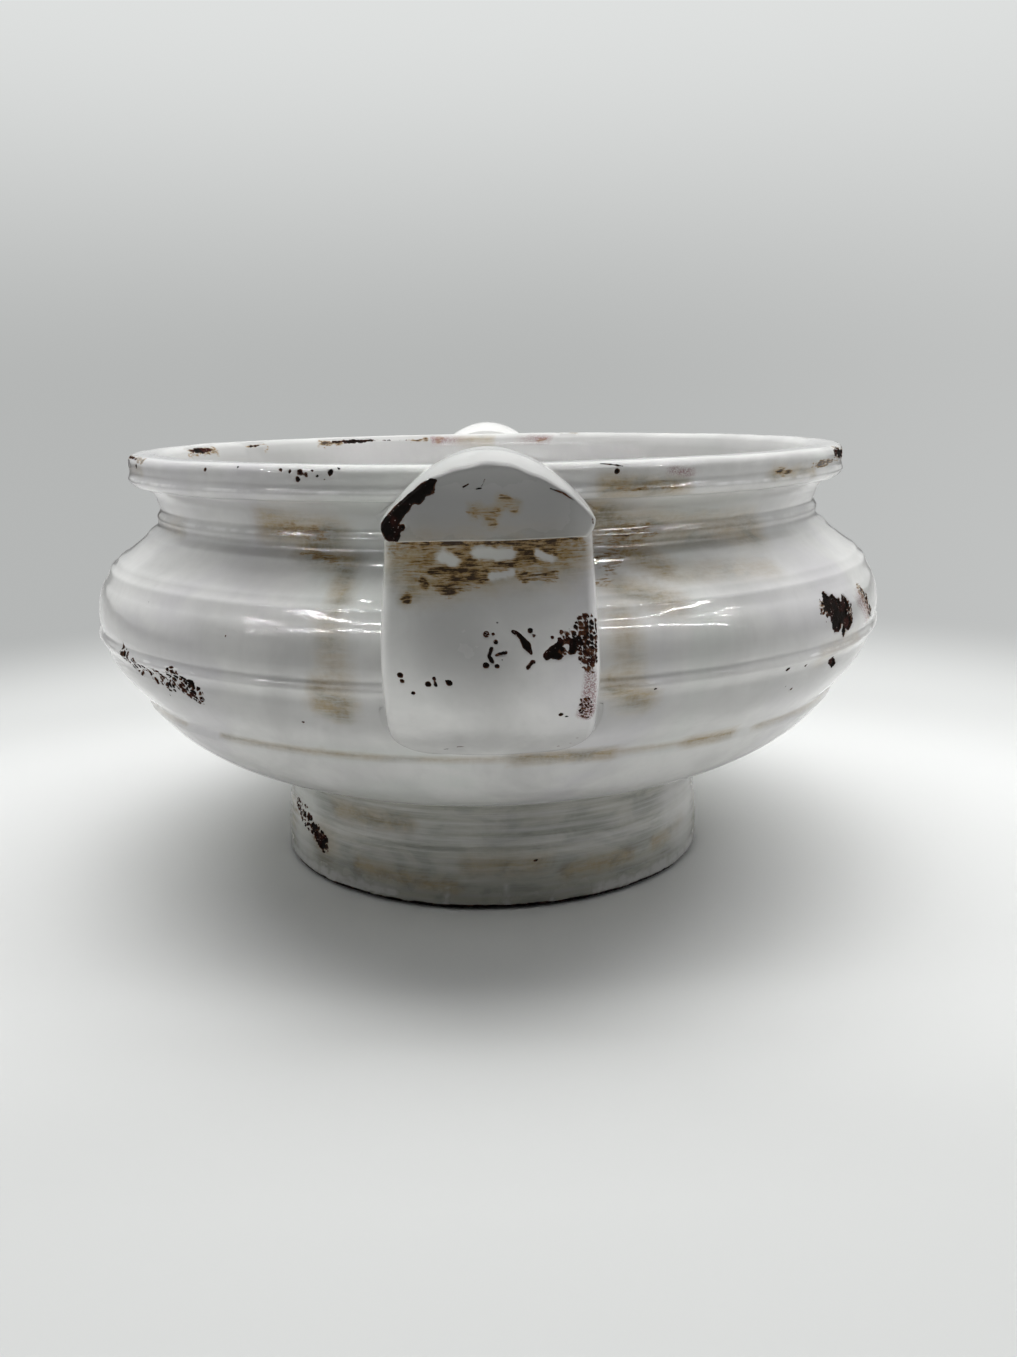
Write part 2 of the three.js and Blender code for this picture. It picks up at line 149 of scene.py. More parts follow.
@dataclass(frozen=True)
class Lattice:
    """Smooth noise that is the same on every run.

    Attributes:
        seed: Picks one of many patterns.
    """

    seed: int = 7

    def chance(self, cell: Array, salt: int) -> Array:
        """Fixed numbers from 0 to 1 for whole-number cells.

        Args:
            cell: Whole numbers, three to a row.
            salt: Picks one of several sets.

        Returns:
            One number for each row.
        """
        c = cell.astype(np.int64)
        h = c[..., 0] * 374761393 + c[..., 1] * 668265263 + c[..., 2] * 1274126177
        h = h + (self.seed + salt) * 97531
        h = (h ^ (h >> 13)) & 0x7FFFFFFF
        h = (h * 1103515245 + 12345) & 0x7FFFFFFF
        h = (h ^ (h >> 15)) & 0x7FFFFFFF
        h = (h * 1274126177) & 0x7FFFFFFF
        return ((h ^ (h >> 16)) & 0xFFFFFF) / float(0xFFFFFF)

    def smooth(self, points: Array, size: float, salt: int = 0) -> Array:
        """Noise from -1 to 1 with features of one size.

        Args:
            points: Rows of three numbers.
            size: The features' size.
            salt: Picks one of several patterns.

        Returns:
            One number for each row.
        """
        p = points / size
        base = np.floor(p)
        f = p - base
        f = f * f * (3 - 2 * f)
        total = np.zeros(len(points))
        for corner in range(8):
            step = np.array([corner & 1, (corner >> 1) & 1, (corner >> 2) & 1])
            weight = np.prod(np.where(step == 1, f, 1 - f), axis=1)
            total += weight * self.chance(base + step, salt)
        return total * 2 - 1

    def rough(self, points: Array, size: float, salt: int = 0, layers: int = 3) -> Array:
        """Noise from about -1 to 1 in several sizes, each half the last."""
        parts = [self.smooth(points, size / 2 ** k, salt + k) / 2 ** k for k in range(layers)]
        return sum(parts) / 1.4

    def pores(self, points: Array, size: float, salt: int = 0) -> Tuple[Array, Array]:
        """How far each point is from the two nearest of a scatter of pores.

        Args:
            points: Rows of three numbers.
            size: The mean distance between pores.
            salt: Picks one of several scatters.

        Returns:
            Distances to the nearest and to the next, in units of the size.
        """
        p = points / size
        base = np.floor(p)
        near = np.full(len(points), 9.0)
        after = np.full(len(points), 9.0)
        for k in range(27):
            step = np.array([k % 3 - 1, k // 3 % 3 - 1, k // 9 - 1])
            cell = base + step
            spot = rows_of(*(self.chance(cell, salt + 11 + axis) for axis in range(3)))
            away = np.linalg.norm(cell + 0.12 + 0.76 * spot - p, axis=1)
            after = np.minimum(after, np.maximum(near, away))
            near = np.minimum(near, away)
        return near, after


# Chips, stains and painted shade

class WearAndShade(Enum):
    """What a mark does to the glaze: a chip or a stain, or painted shade that greys it."""

    CHIP = "chip"
    TAN = "tan"
    UMBER = "umber"
    ROSE = "rose"
    # SHADE is painted shade: it greys the glaze where shade falls.
    SHADE = "shade"
    CLEAN = "clean"


CHIP, TAN, UMBER, ROSE, SHADE, CLEAN = WearAndShade


class Lamp(Enum):
    """What a lamp is for: to light the scene, or to be mirrored in the glaze as a thin line."""

    SOFT = "soft"
    SPARKLE = "sparkle"


class Side(Enum):
    """Which handle of the two, and how far it is turned about the upright axis."""

    FRONT = "front"
    REAR = "rear"

    def placed(self, points: Array) -> Array:
        """The front handle's points turned to this side."""
        return points if self is Side.FRONT else points * np.array([-1.0, -1.0, 1.0])


@dataclass(frozen=True)
class Mark:
    """A worn place or a patch of painted shade: a line with a width, solid or porous.

    Attributes:
        kind: What it does to the glaze.
        start: One end, in millimetres.
        end: The other end.
        size: Half of its width at the start.
        end_size: Half of its width at the end.
        ragged: How far its edge wanders.
        strength: How strong a stain or the painted shade is.
        grain: Distance between pores, or 0 for a solid mark.
        fill: How much of the porous area is open.
    """

    kind: WearAndShade
    start: Triple
    end: Triple
    size: float
    end_size: float
    ragged: float = 0.35
    strength: float = 1.0
    grain: float = 0.0
    fill: float = 0.5

    def reach(self) -> float:
        """The furthest that the mark spreads from its line."""
        return 1.8 * max(self.size, self.end_size) + 3 * self.ragged + 0.5

    def depth(self, points: Array) -> Array:
        """How far inside the mark each point is, less than nothing outside.

        Args:
            points: Points in millimetres.

        Returns:
            Millimetres, one for each row.
        """
        a = np.array(self.start)
        run = np.array(self.end) - a
        length = float(run @ run)
        t = np.clip((points - a) @ run / length, 0.0, 1.0) if length > 0 else np.zeros(len(points))
        away = np.linalg.norm(points - a - t[:, None] * run, axis=1)
        return self.size + (self.end_size - self.size) * t - away


class WearAndShadeMap:
    """All the chips, stains and painted shade of the bowl, in its own frame.

    Attributes:
        SALT_STEP: Sets the noise of one mark apart from the next one's.
        FAR_OUTSIDE: Depth of a point that is in no chip.
        FADE: How far a stain's edge fades outwards and inwards, as shares of its size.
        WIDE_FADE: The same for tan washes and painted shade.
        CLEAN_SHADE: How much of the painted shade a clean place takes away.
    """

    SALT_STEP = 17
    FAR_OUTSIDE = -5.0
    FADE = (0.4, 0.55)
    WIDE_FADE = (0.75, 0.95)
    CLEAN_SHADE = 0.6

    def __init__(self, lattice: Lattice) -> None:
        """Starts with no marks.

        Args:
            lattice: The noise for ragged edges and pores.
        """
        self.lattice = lattice
        self.marks: List[Mark] = []

    def add(self, kind: WearAndShade, start: Triple, size: float, end: Optional[Triple] = None,
            end_size: Optional[float] = None, **more: float) -> None:
        """Puts one mark on the map.

        Args:
            kind: What it does to the glaze.
            start: One end.
            size: Half of its width.
            end: The other end, or none for a round mark.
            end_size: Half of its width at the other end, if it differs.
            **more: Other fields of the mark.
        """
        last = start if end is None else end
        last_size = size if end_size is None else end_size
        self.marks.append(Mark(kind, tuple(start), tuple(last), size, last_size, **more))

    def chain(self, kind: WearAndShade, spots: Sequence[Triple], sizes: Sequence[float], **more: float) -> None:
        """Puts a bent line of marks on the map.

        Args:
            kind: What they do to the glaze.
            spots: The line's points.
            sizes: Half of its width at each point.
            **more: Other fields of the marks.
        """
        for k in range(len(spots) - 1):
            self.add(kind, spots[k], sizes[k], spots[k + 1], sizes[k + 1], **more)

    def near_chip(self, points: Array, margin: float) -> Array:
        """Which points are close to a chip.

        Args:
            points: Points in millimetres.
            margin: How close.

        Returns:
            True or false for each row.
        """
        found = np.zeros(len(points), bool)
        for mark in self.marks:
            if mark.kind is CHIP:
                found |= mark.depth(points) > -margin - 2 * mark.ragged
        return found

    def in_pores(self, mark: Mark, here: Array, depth: Array) -> Array:
        """How far inside one of a mark's pores each point is.

        Args:
            mark: The porous mark.
            here: Points in millimetres.
            depth: How far inside the mark's outline they are.

        Returns:
            Millimetres, one for each row.
        """
        bent = [self.lattice.smooth(here, mark.grain, salt=500 + k) for k in range(3)]
        warped = here + 0.28 * mark.grain * rows_of(*bent)
        within = np.clip(depth / (0.5 * max(mark.size, 0.1)), -0.6, 1.0)
        near, after = self.lattice.pores(warped, mark.grain, salt=3)
        return np.minimum(mark.fill * within - near, 0.55 * (after - near) - 0.085) * mark.grain

    def fields(self, points: Array) -> Dict[WearAndShade, Array]:
        """The chips, stains and painted shade at each point.

        Args:
            points: Points in millimetres.

        Returns:
            Millimetres inside a chip, and strengths from 0 to 1 for the stains and the painted shade.
        """
        found = {kind: np.zeros(len(points)) for kind in WearAndShade}
        found[CHIP] = np.full(len(points), self.FAR_OUTSIDE)
        for number, mark in enumerate(self.marks):
            centre = (np.array(mark.start) + np.array(mark.end)) / 2
            span = np.linalg.norm(np.array(mark.end) - np.array(mark.start)) / 2 + mark.reach() + 4
            close = np.flatnonzero(np.linalg.norm(points - centre, axis=1) < span)
            if not len(close):
                continue
            here = points[close]
            depth = mark.depth(here)
            salt = self.SALT_STEP * number
            wander = self.lattice.rough(here, 1.1 + 0.5 * mark.size, salt=salt)
            fringe = self.lattice.rough(here, 0.9, salt=salt + 7, layers=2)
            depth = depth + mark.ragged * (wander + 0.4 * fringe)
            layer = found[mark.kind]
            if mark.grain > 0:
                depth = self.in_pores(mark, here, depth) + 0.05 * wander
            if mark.kind is CHIP:
                layer[close] = np.maximum(layer[close], depth)
            else:
                fade, fill = self.WIDE_FADE if mark.kind in (TAN, SHADE) else self.FADE
                soft = ease(-fade * mark.size, fill * mark.size, depth)
                layer[close] = np.maximum(layer[close], mark.strength * soft)
        keep = 1 - found[CLEAN]
        for kind in (TAN, UMBER, ROSE):
            found[kind] *= keep
        found[SHADE] *= 1 - self.CLEAN_SHADE * found[CLEAN]
        return found


# Node trees

class NodeSheet:
    """A node tree with short ways to add nodes and join them."""

    def __init__(self, tree: bpy.types.NodeTree) -> None:
        """Takes a tree to work on."""
        self.tree = tree

    def add(
            self, kind: str, inputs: Optional[Dict[Union[int, str], Input]] = None,
            **settings: object) -> bpy.types.Node:
        """Adds a node.

        Args:
            kind: The node's type.
            inputs: Values or sockets for its inputs, by name or number.
            **settings: The node's own settings.

        Returns:
            The new node.
        """
        node = self.tree.nodes.new(kind)
        for name, value in settings.items():
            setattr(node, name, value)
        for key, value in (inputs or {}).items():
            if isinstance(value, Socket):
                self.tree.links.new(value, node.inputs[key])
            else:
                node.inputs[key].default_value = value
        return node

    def math(self, operation: str, a: Input, b: Input = 0.0, clamp: bool = False) -> Socket:
        """A sum of two numbers."""
        return self.add("ShaderNodeMath", {0: a, 1: b}, operation=operation, use_clamp=clamp).outputs[0]

    def times(self, a: Input, b: Input, clamp: bool = False) -> Socket:
        """One number times another."""
        return self.math("MULTIPLY", a, b, clamp)

    def squeeze(self, where: Input, amount: float) -> Socket:
        """Coordinates squeezed upright, so that noise on them runs out sideways."""
        return self.vector("MULTIPLY", where, (1.0, 1.0, amount))

    def length(self, a: Input) -> Socket:
        """A vector's length."""
        return self.add("ShaderNodeVectorMath", {0: a}, operation="LENGTH").outputs["Value"]

    def parts(self, a: Input) -> Sequence[Socket]:
        """A vector's three numbers."""
        return self.add("ShaderNodeSeparateXYZ", {0: a}).outputs

    def vector(self, operation: str, a: Input, b: Input) -> Socket:
        """A sum of two vectors."""
        return self.add("ShaderNodeVectorMath", {0: a, 1: b}, operation=operation).outputs[0]

    def noise(self, where: Input, scale: float, detail: float = 2.0, rough: float = 0.5,
              bend: float = 0.0) -> Socket:
        """Cloudy noise from 0 to 1.

        Args:
            where: The coordinates.
            scale: Features to a metre.
            detail: Layers of finer noise.
            rough: How strong the finer layers are.
            bend: How far the pattern is bent.

        Returns:
            The noise.
        """
        inputs = {"Vector": where, "Scale": scale, "Detail": detail, "Roughness": rough, "Distortion": bend}
        return self.add("ShaderNodeTexNoise", inputs).outputs[0]

    def step(self, value: Input, low: float, high: float) -> Socket:
        """A soft step from 0 at low to 1 at high."""
        inputs = {"Value": value, "From Min": low, "From Max": high}
        return self.add("ShaderNodeMapRange", inputs, interpolation_type="SMOOTHSTEP").outputs[0]

    def span(self, value: Input, low: float, high: float) -> Socket:
        """A number from 0 to 1 laid over another range."""
        return self.add("ShaderNodeMapRange", {"Value": value, "To Min": low, "To Max": high}).outputs[0]

    def blend(self, amount: Input, a: Input, b: Input) -> Socket:
        """A mix of two colours, each a socket or three numbers."""
        pair = [tone if isinstance(tone, Socket) else (*tone, 1.0) for tone in (a, b)]
        return self.add("ShaderNodeMix", {0: amount, 6: pair[0], 7: pair[1]}, data_type="RGBA").outputs[2]

    def attribute(self, name: str) -> Socket:
        """A number kept on the mesh."""
        return self.add("ShaderNodeAttribute", attribute_name=name).outputs["Fac"]


def blank_material(name: str) -> Tuple[Material, NodeSheet]:
    """A material with an empty tree.

    Args:
        name: The material's name.

    Returns:
        The material and its sheet.
    """
    material = bpy.data.materials.new(name)
    material.use_nodes = True
    material.node_tree.nodes.clear()
    return material, NodeSheet(material.node_tree)


# Finishes

@dataclass(frozen=True)
class AntiqueGlaze:
    """White glaze over dark clay, stained with tan and umber and chipped.

    Attributes:
        name: The material's name.
        white, pale, grey: The clean glaze, a painted highlight on the turned ledges, and the glaze where it
            is thinner.
        lilac, celadon: Faint tinges in places.
        dim: Painted shade: the grey that the glaze is darkened to where shade is painted, also used for the
            faint drawn streaks.
        tan, olive: The wash left in hollows, and where it is greener.
        film, deep_film: The thin wash all over the foot, and where it is darker.
        umber, brown: Dark brush strokes, and where they are thinner.
        rose: Pink speckle where the glaze is thin.
        clay, red_clay: The clay at its darkest, and where it burned red.
        rust, speck: The clay's thin edge and its pale grains.
        gloss, shade_rough, clay_rough: Roughness of the glaze, what it gains where shade is painted, and of
            the clay.
        shine, clay_shine: Specular levels of the glaze and the clay.
        ior: Index of refraction of the glaze.
        wash: How much of the film lies all over.
        ripple: Height of the glaze's ripples in metres.
    """

    name: str
    white: Colour = (0.84, 0.838, 0.82)
    pale: Colour = (0.97, 0.97, 0.965)
    grey: Colour = (0.69, 0.688, 0.675)
    lilac: Colour = (0.70, 0.685, 0.715)
    celadon: Colour = (0.735, 0.77, 0.73)
    dim: Colour = (0.425, 0.424, 0.416)
    tan: Colour = (0.40, 0.30, 0.15)
    olive: Colour = (0.21, 0.172, 0.088)
    film: Colour = (0.37, 0.365, 0.275)
    deep_film: Colour = (0.205, 0.215, 0.16)
    umber: Colour = (0.030, 0.015, 0.006)
    brown: Colour = (0.31, 0.19, 0.062)
    rose: Colour = (0.26, 0.11, 0.12)
    clay: Colour = (0.006, 0.004, 0.003)
    red_clay: Colour = (0.038, 0.010, 0.007)
    rust: Colour = (0.13, 0.05, 0.022)
    speck: Colour = (0.42, 0.36, 0.33)
    gloss: float = 0.07
    shade_rough: float = 0.22
    clay_rough: float = 0.7
    shine: float = 0.5
    clay_shine: float = 0.05
    ior: float = 1.52
    wash: float = 0.0
    ripple: float = 0.00014

    def material(self) -> Material:
        """Builds the material.

        Returns:
            The new material.
        """
        material, sheet = blank_material(self.name)
        where = sheet.add("ShaderNodeTexCoord").outputs["Object"]
        chip, shade = sheet.attribute("chip"), sheet.attribute("shade")
        cloud = sheet.noise(where, 21.0, detail=4.0, rough=0.55, bend=0.6)
        mottle = sheet.noise(where, 150.0, detail=3.0)
        tinge = sheet.noise(where, 15.0, detail=3.0, rough=0.5, bend=0.8)
        drawn = sheet.noise(sheet.squeeze(where, 0.07), 330.0, detail=3.0)
        # Breaks the painted highlight on the ledges into stretches.
        broken = sheet.span(sheet.step(sheet.noise(where, 130.0, detail=2.0), 0.38, 0.60), 0.1, 1.0)
        glaze = sheet.blend(sheet.step(cloud, 0.40, 0.64), self.white, self.grey)
        # Random tones, then painted shade where the shade attribute lies, faint drawn streaks, and the
        # painted highlight on the ledges.
        for amount, tone in (
                (sheet.times(sheet.step(mottle, 0.45, 0.8), 0.25), self.grey),
                (sheet.times(sheet.step(tinge, 0.52, 0.68), 0.55), self.lilac),
                (sheet.times(sheet.step(tinge, 0.46, 0.32), 0.55), self.celadon), (shade, self.dim),
                (sheet.times(sheet.step(drawn, 0.50, 0.72), 0.05), self.dim),
                (sheet.times(sheet.step(sheet.attribute("painted_highlight"), 0.2, 0.8), broken), self.pale)):
            glaze = sheet.blend(amount, glaze, tone)
        glaze = self.stained(sheet, where, glaze)
        bare = self.bare(sheet, where, chip)
        colour = sheet.blend(bare, glaze, self.earth(sheet, where, chip))
        polish = sheet.span(mottle, self.gloss * 0.7, self.gloss * 1.5)
        polish = sheet.math("ADD", polish, sheet.times(shade, self.shade_rough))
        rough = sheet.add("ShaderNodeMix", {0: bare, 2: polish, 3: self.clay_rough}).outputs[0]
        shine = sheet.add("ShaderNodeMix", {0: bare, 2: self.shine, 3: self.clay_shine}).outputs[0]
        shader = sheet.add("ShaderNodeBsdfPrincipled", {
            "Base Color": colour, "Roughness": rough, "Normal": self.relief(sheet, where, bare),
            "IOR": self.ior, "Specular IOR Level": shine})
        sheet.add("ShaderNodeOutputMaterial", {"Surface": shader.outputs[0]})
        return material

    def stained(self, sheet: NodeSheet, where: Input, glaze: Input) -> Socket:
        """Lays the tan wash, the umber strokes and the rose speckle over the glaze.

        Args:
            sheet: The tree.
            where: The coordinates.
            glaze: The clean glaze's colour.

        Returns:
            The stained colour.
        """
        fine = sheet.noise(sheet.squeeze(where, 8.0), 110.0, detail=4.0, rough=0.62, bend=0.5)
        broad = sheet.noise(sheet.squeeze(where, 2.2), 58.0, detail=4.0, rough=0.6, bend=0.7)
        crumb = sheet.noise(where, 700.0, detail=3.0, rough=0.6)
        patchy = sheet.step(broad, 0.42, 0.64)
        if self.wash > 0:
            lines = sheet.noise(sheet.squeeze(where, 30.0), 15.0, detail=5.0, rough=0.7)
            laid = sheet.span(sheet.step(lines, 0.28, 0.74), 0.30, 1.0)
            laid = sheet.times(laid, sheet.span(broad, 0.55 * self.wash, self.wash))
            laid = sheet.times(laid, sheet.math("SUBTRACT", 1.0, sheet.attribute("clean")))
            glaze = sheet.blend(laid, glaze, sheet.blend(patchy, self.film, self.deep_film))
        lay = sheet.span(sheet.step(fine, 0.34, 0.64), 0.68, 1.0)
        lay = sheet.times(lay, sheet.span(sheet.step(crumb, 0.38, 0.62), 0.85, 1.0))
        tint = sheet.blend(patchy, self.tan, self.olive)
        colour = sheet.blend(sheet.times(lay, sheet.attribute("tan"), clamp=True), glaze, tint)
        umber = sheet.attribute("umber")
        hair = sheet.noise(sheet.squeeze(where, 10.0), 200.0, detail=4.0, rough=0.62, bend=0.6)
        smear = sheet.noise(sheet.squeeze(where, 2.2), 130.0, detail=5.0, rough=0.62, bend=1.2)
        brushed = sheet.math("ADD", sheet.times(hair, 0.55), sheet.times(smear, 0.45))
        ink = sheet.step(brushed, 0.36, 0.62)
        mass = sheet.math("ADD", umber, sheet.math("SUBTRACT", ink, 0.5))
        mass = sheet.math("ADD", mass, sheet.times(sheet.math("SUBTRACT", crumb, 0.5), 0.5))
        held = sheet.step(umber, 0.03, 0.25)
        thin = sheet.times(sheet.step(mass, 0.16, 0.74), sheet.times(held, 0.9))
        thick = sheet.times(sheet.step(mass, 0.62, 1.04), sheet.times(held, 0.95))
        colour = sheet.blend(thick, sheet.blend(thin, colour, self.brown), self.umber)
        grains = sheet.step(sheet.noise(where, 2100.0, detail=3.0), 0.30, 0.66)
        return sheet.blend(sheet.times(sheet.attribute("rose"), grains), colour, self.rose)

    def bare(self, sheet: NodeSheet, where: Input, chip: Input) -> Socket:
        """Where the glaze is gone, with a crisp, slightly crumbled edge."""
        crumble = sheet.times(sheet.math("SUBTRACT", sheet.noise(where, 1500.0, detail=3.0), 0.5), 0.22)
        return sheet.step(sheet.math("ADD", chip, crumble), -0.05, 0.07)

    def earth(self, sheet: NodeSheet, where: Input, chip: Input) -> Socket:
        """The clay's colour: near black inside, red towards the edge, with a few pale grains.

        Args:
            sheet: The tree.
            where: The coordinates.
            chip: Millimetres inside a chip.

        Returns:
            The colour.
        """
        burnt = sheet.noise(where, 150.0, detail=3.0, bend=0.5)
        reddish = sheet.times(sheet.step(burnt, 0.50, 0.64), 0.9)
        tone = sheet.blend(reddish, self.clay, self.red_clay)
        edge = sheet.math("SUBTRACT", 1.0, sheet.step(chip, 0.08, 0.42), clamp=True)
        crust = sheet.times(edge, sheet.step(sheet.noise(where, 420.0, detail=2.0), 0.40, 0.60))
        tone = sheet.blend(sheet.times(crust, 0.8), tone, self.rust)
        grain = sheet.step(sheet.noise(where, 1500.0, detail=1.0), 0.66, 0.72)
        return sheet.blend(sheet.times(grain, sheet.step(burnt, 0.48, 0.58)), tone, self.speck)

    def relief(self, sheet: NodeSheet, where: Input, bare: Input) -> Socket:
        """The glaze's ripples and the clay's grain as a bump.

        Args:
            sheet: The tree.
            where: The coordinates.
            bare: Where the clay is bare.

        Returns:
            The bumped normal.
        """
        ripple = sheet.noise(where, 75.0, detail=2.0, rough=0.45)
        dimple = sheet.noise(where, 420.0, detail=1.0)
        glaze = sheet.math("ADD", ripple, sheet.times(dimple, 0.06))
        grain = sheet.times(sheet.noise(where, 1300.0, detail=4.0, rough=0.7), 2.6)
        height = sheet.add("ShaderNodeMix", {0: bare, 2: glaze, 3: grain}).outputs[0]
        bump = sheet.add("ShaderNodeBump", {"Strength": 1.0, "Distance": self.ripple, "Height": height})
        return bump.outputs[0]


# Meshes

def loft(rings: Sequence[Array], closed: bool = False) -> Tuple[Array, Faces]:
    """A skin over rings of equal length.

    Args:
        rings: Rows of points, each ring closed on itself.
        closed: True where the last ring meets the first, else the ends are capped.

    Returns:
        Points and faces.
    """
    count = len(rings[0])
    points = np.vstack(rings)
    faces: Faces = []
    last = len(rings) if closed else len(rings) - 1
    for r in range(last):
        here, there = r * count, (r + 1) % len(rings) * count
        for k in range(count):
            n = (k + 1) % count
            faces.append((here + k, here + n, there + n, there + k))
    if not closed:
        for ring in (0, len(rings) - 1):
            points = np.vstack([points, rings[ring].mean(axis=0)])
            middle = len(points) - 1
            for k in range(count):
                faces.append((ring * count + k, ring * count + (k + 1) % count, middle))
    return points, faces


def skin(name: str, points: Array, faces: Faces) -> Mesh:
    """A mesh from points in millimetres, its faces outwards.

    Args:
        name: The mesh's name.
        points: Rows of three numbers.
        faces: Corners of each face.

    Returns:
        The mesh, in metres.
    """
    mesh = bpy.data.meshes.new(name)
    mesh.from_pydata((points * MM).tolist(), [], faces)
    settle(mesh)
    return mesh


def settle(mesh: Mesh) -> None:
    """Merges doubles, turns the faces outwards and smooths them.

    Args:
        mesh: The mesh, in metres.
    """
    sheet = bmesh.new()
    sheet.from_mesh(mesh)
    bmesh.ops.remove_doubles(sheet, verts=sheet.verts, dist=MERGE)
    bmesh.ops.recalc_face_normals(sheet, faces=sheet.faces)
    sheet.to_mesh(mesh)
    sheet.free()
    mesh.shade_smooth()


def corners(mesh: Mesh, what: str = "co") -> Array:
    """The points or normals of a mesh's vertices.

    Args:
        mesh: The mesh.
        what: Blender's name for what is wanted.

    Returns:
        Rows of three numbers.
    """
    flat = np.zeros(len(mesh.vertices) * 3, np.float32)
    mesh.vertices.foreach_get(what, flat)
    return flat.reshape(-1, 3).astype(float)


def write_layer(mesh: Mesh, name: str, values: Array) -> None:
    """Writes one number for each vertex onto a mesh, where the finish reads it."""
    layer = mesh.attributes.new(name, "FLOAT", "POINT")
    layer.data.foreach_set("value", values.astype(np.float32))


def show(name: str, data: Optional[bpy.types.ID]) -> bpy.types.Object:
    """Makes an object of a mesh, a lamp or a camera and puts it into the scene.

    Args:
        name: The object's name.
        data: What it shows.

    Returns:
        The new object.
    """
    thing = bpy.data.objects.new(name, data)
    bpy.context.scene.collection.objects.link(thing)
    return thing


@dataclass
class Dresser:
    """Gives a mesh its hand-made unevenness, its chips and stains, painted shade and a painted highlight.

    Attributes:
        wear_and_shade: The map of marks.
        lattice: The noise.
        chip_depth: How deep a chip goes, in millimetres.
        lumps: How far the surface wanders.
        lump_size: Over what distance it wanders.
        grit: How uneven a chip's floor is.
        grit_size: Over what distance.
        chip_edge: Over what distance a chip falls to its floor.
        chip_margin: How far round a chip the mesh is finer.
        floor_edge: Radii between which the bowl's floor begins.
        ledge_half: Half of the width of the painted highlight line on a ledge.
        gleam_size: Length of the stretches of that line.
    """

    wear_and_shade: WearAndShadeMap
    lattice: Lattice
    chip_depth: float = 0.6
    lumps: float = 0.2
    lump_size: float = 17.0
    grit: float = 0.18
    grit_size: float = 1.1
    chip_edge: float = 0.7
    chip_margin: float = 1.6
    floor_edge: Pair = (119.0, 126.0)
    ledge_half: float = 0.8
    gleam_size: float = 16.0

    def refine(self, mesh: Mesh, cuts: int) -> None:
        """Cuts the faces near a chip finer.

        Args:
            mesh: The mesh.
            cuts: New points on each edge.
        """
        sheet = bmesh.new()
        sheet.from_mesh(mesh)
        sheet.faces.ensure_lookup_table()
        middles = np.array([face.calc_center_median() for face in sheet.faces]) / MM
        near = self.wear_and_shade.near_chip(middles, self.chip_margin)
        edges = {edge for face in sheet.faces if near[face.index] for edge in face.edges}
        bmesh.ops.subdivide_edges(sheet, edges=list(edges), cuts=cuts, use_grid_fill=True)
        sheet.to_mesh(mesh)
        sheet.free()

    def dress(self, mesh: Mesh, lumps: Optional[float] = None, inner_shade: float = 0.0,
              ledges: Sequence[float] = ()) -> None:
        """Moves the points and writes the chips, stains, painted shade and painted highlight onto the mesh.

        Args:
            mesh: The mesh, in metres.
            lumps: How far its surface wanders, if not as usual.
            inner_shade: How strong the painted shade is inside the bowl, where the wall faces the axis and on
                the floor.
            ledges: Heights of turned ledges that carry a painted highlight line.
        """
        points = corners(mesh) / MM
        normals = corners(mesh, "normal")
        found = self.wear_and_shade.fields(points)
        # Painted shade inside the bowl, on the inner wall and the floor.
        if inner_shade > 0:
            shade = inner_shade * self.inside(points, normals)
            found[SHADE] = np.maximum(found[SHADE], shade)
        # A painted highlight along the turned ledges.
        write_layer(mesh, "painted_highlight", self.painted_highlight(points, normals, ledges))
        wander = self.lumps if lumps is None else lumps
        move = wander * self.lattice.rough(points, self.lump_size, salt=90, layers=2)
        open_clay = ease(0.0, self.chip_edge, found[CHIP])
        rubble = self.lattice.rough(points, self.grit_size, salt=130, layers=2)
        move -= open_clay * (self.chip_depth + self.grit * rubble)
        points = points + normals * move[:, None]
        points[:, 2] = np.maximum(points[:, 2], 0.0)
        mesh.vertices.foreach_set("co", (points * MM).astype(np.float32).ravel())
        for kind, values in found.items():
            write_layer(mesh, kind.value, values)
        mesh.update()
        mesh.shade_smooth()

    def inside(self, points: Array, normals: Array) -> Array:
        """Which points are on the bowl's inner wall or on its floor, where the painted shade inside lies.

        Args:
            points: Points in millimetres.
            normals: The surface's directions there.

        Returns:
            From 0 outside to 1 inside, one for each row.
        """
        radius = np.maximum(np.linalg.norm(points[:, :2], axis=1), 1.0)
        inward = -(points[:, :2] * normals[:, :2]).sum(axis=1) / radius
        floor = ease(-self.floor_edge[1], -self.floor_edge[0], -radius) * ease(-0.2, 0.3, normals[:, 2])
        return np.maximum(ease(0.1, 0.6, inward), floor)

    def painted_highlight(self, points: Array, normals: Array, ledges: Sequence[float]) -> Array:
        """A painted highlight: how pale the glaze is painted along the turned ledges.

        Args:
            points: Points in millimetres.
            normals: The surface's directions there.
            ledges: The ledges' heights.

        Returns:
            From 0 to 1, one for each row.
        """
        found = np.zeros(len(points))
        for z in ledges:
            found = np.maximum(found, 1 - np.abs(points[:, 2] - z) / self.ledge_half)
        found *= (points[:, :2] * normals[:, :2]).sum(axis=1) > 0
        return found * ease(-0.3, 0.05, self.lattice.smooth(points, self.gleam_size, salt=77))


def piece(name: str, mesh: Mesh, material: Material, nodes: Sequence[str]) -> bpy.types.Object:
    """Makes a finished piece of a mesh and hangs it in the frame.

    Args:
        name: The piece's name.
        mesh: Its mesh, already in place.
        material: Its finish.
        nodes: The solids that it stands for.

    Returns:
        The new object.
    """
    mesh.materials.clear()
    mesh.materials.append(material)
    thing = show(name, mesh)
    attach(thing, BODY)
    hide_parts(*nodes)
    triangles = sum(len(face.vertices) - 2 for face in mesh.polygons)
    LOG.info("%s: %d triangles", name, triangles)
    return thing


# The wheel

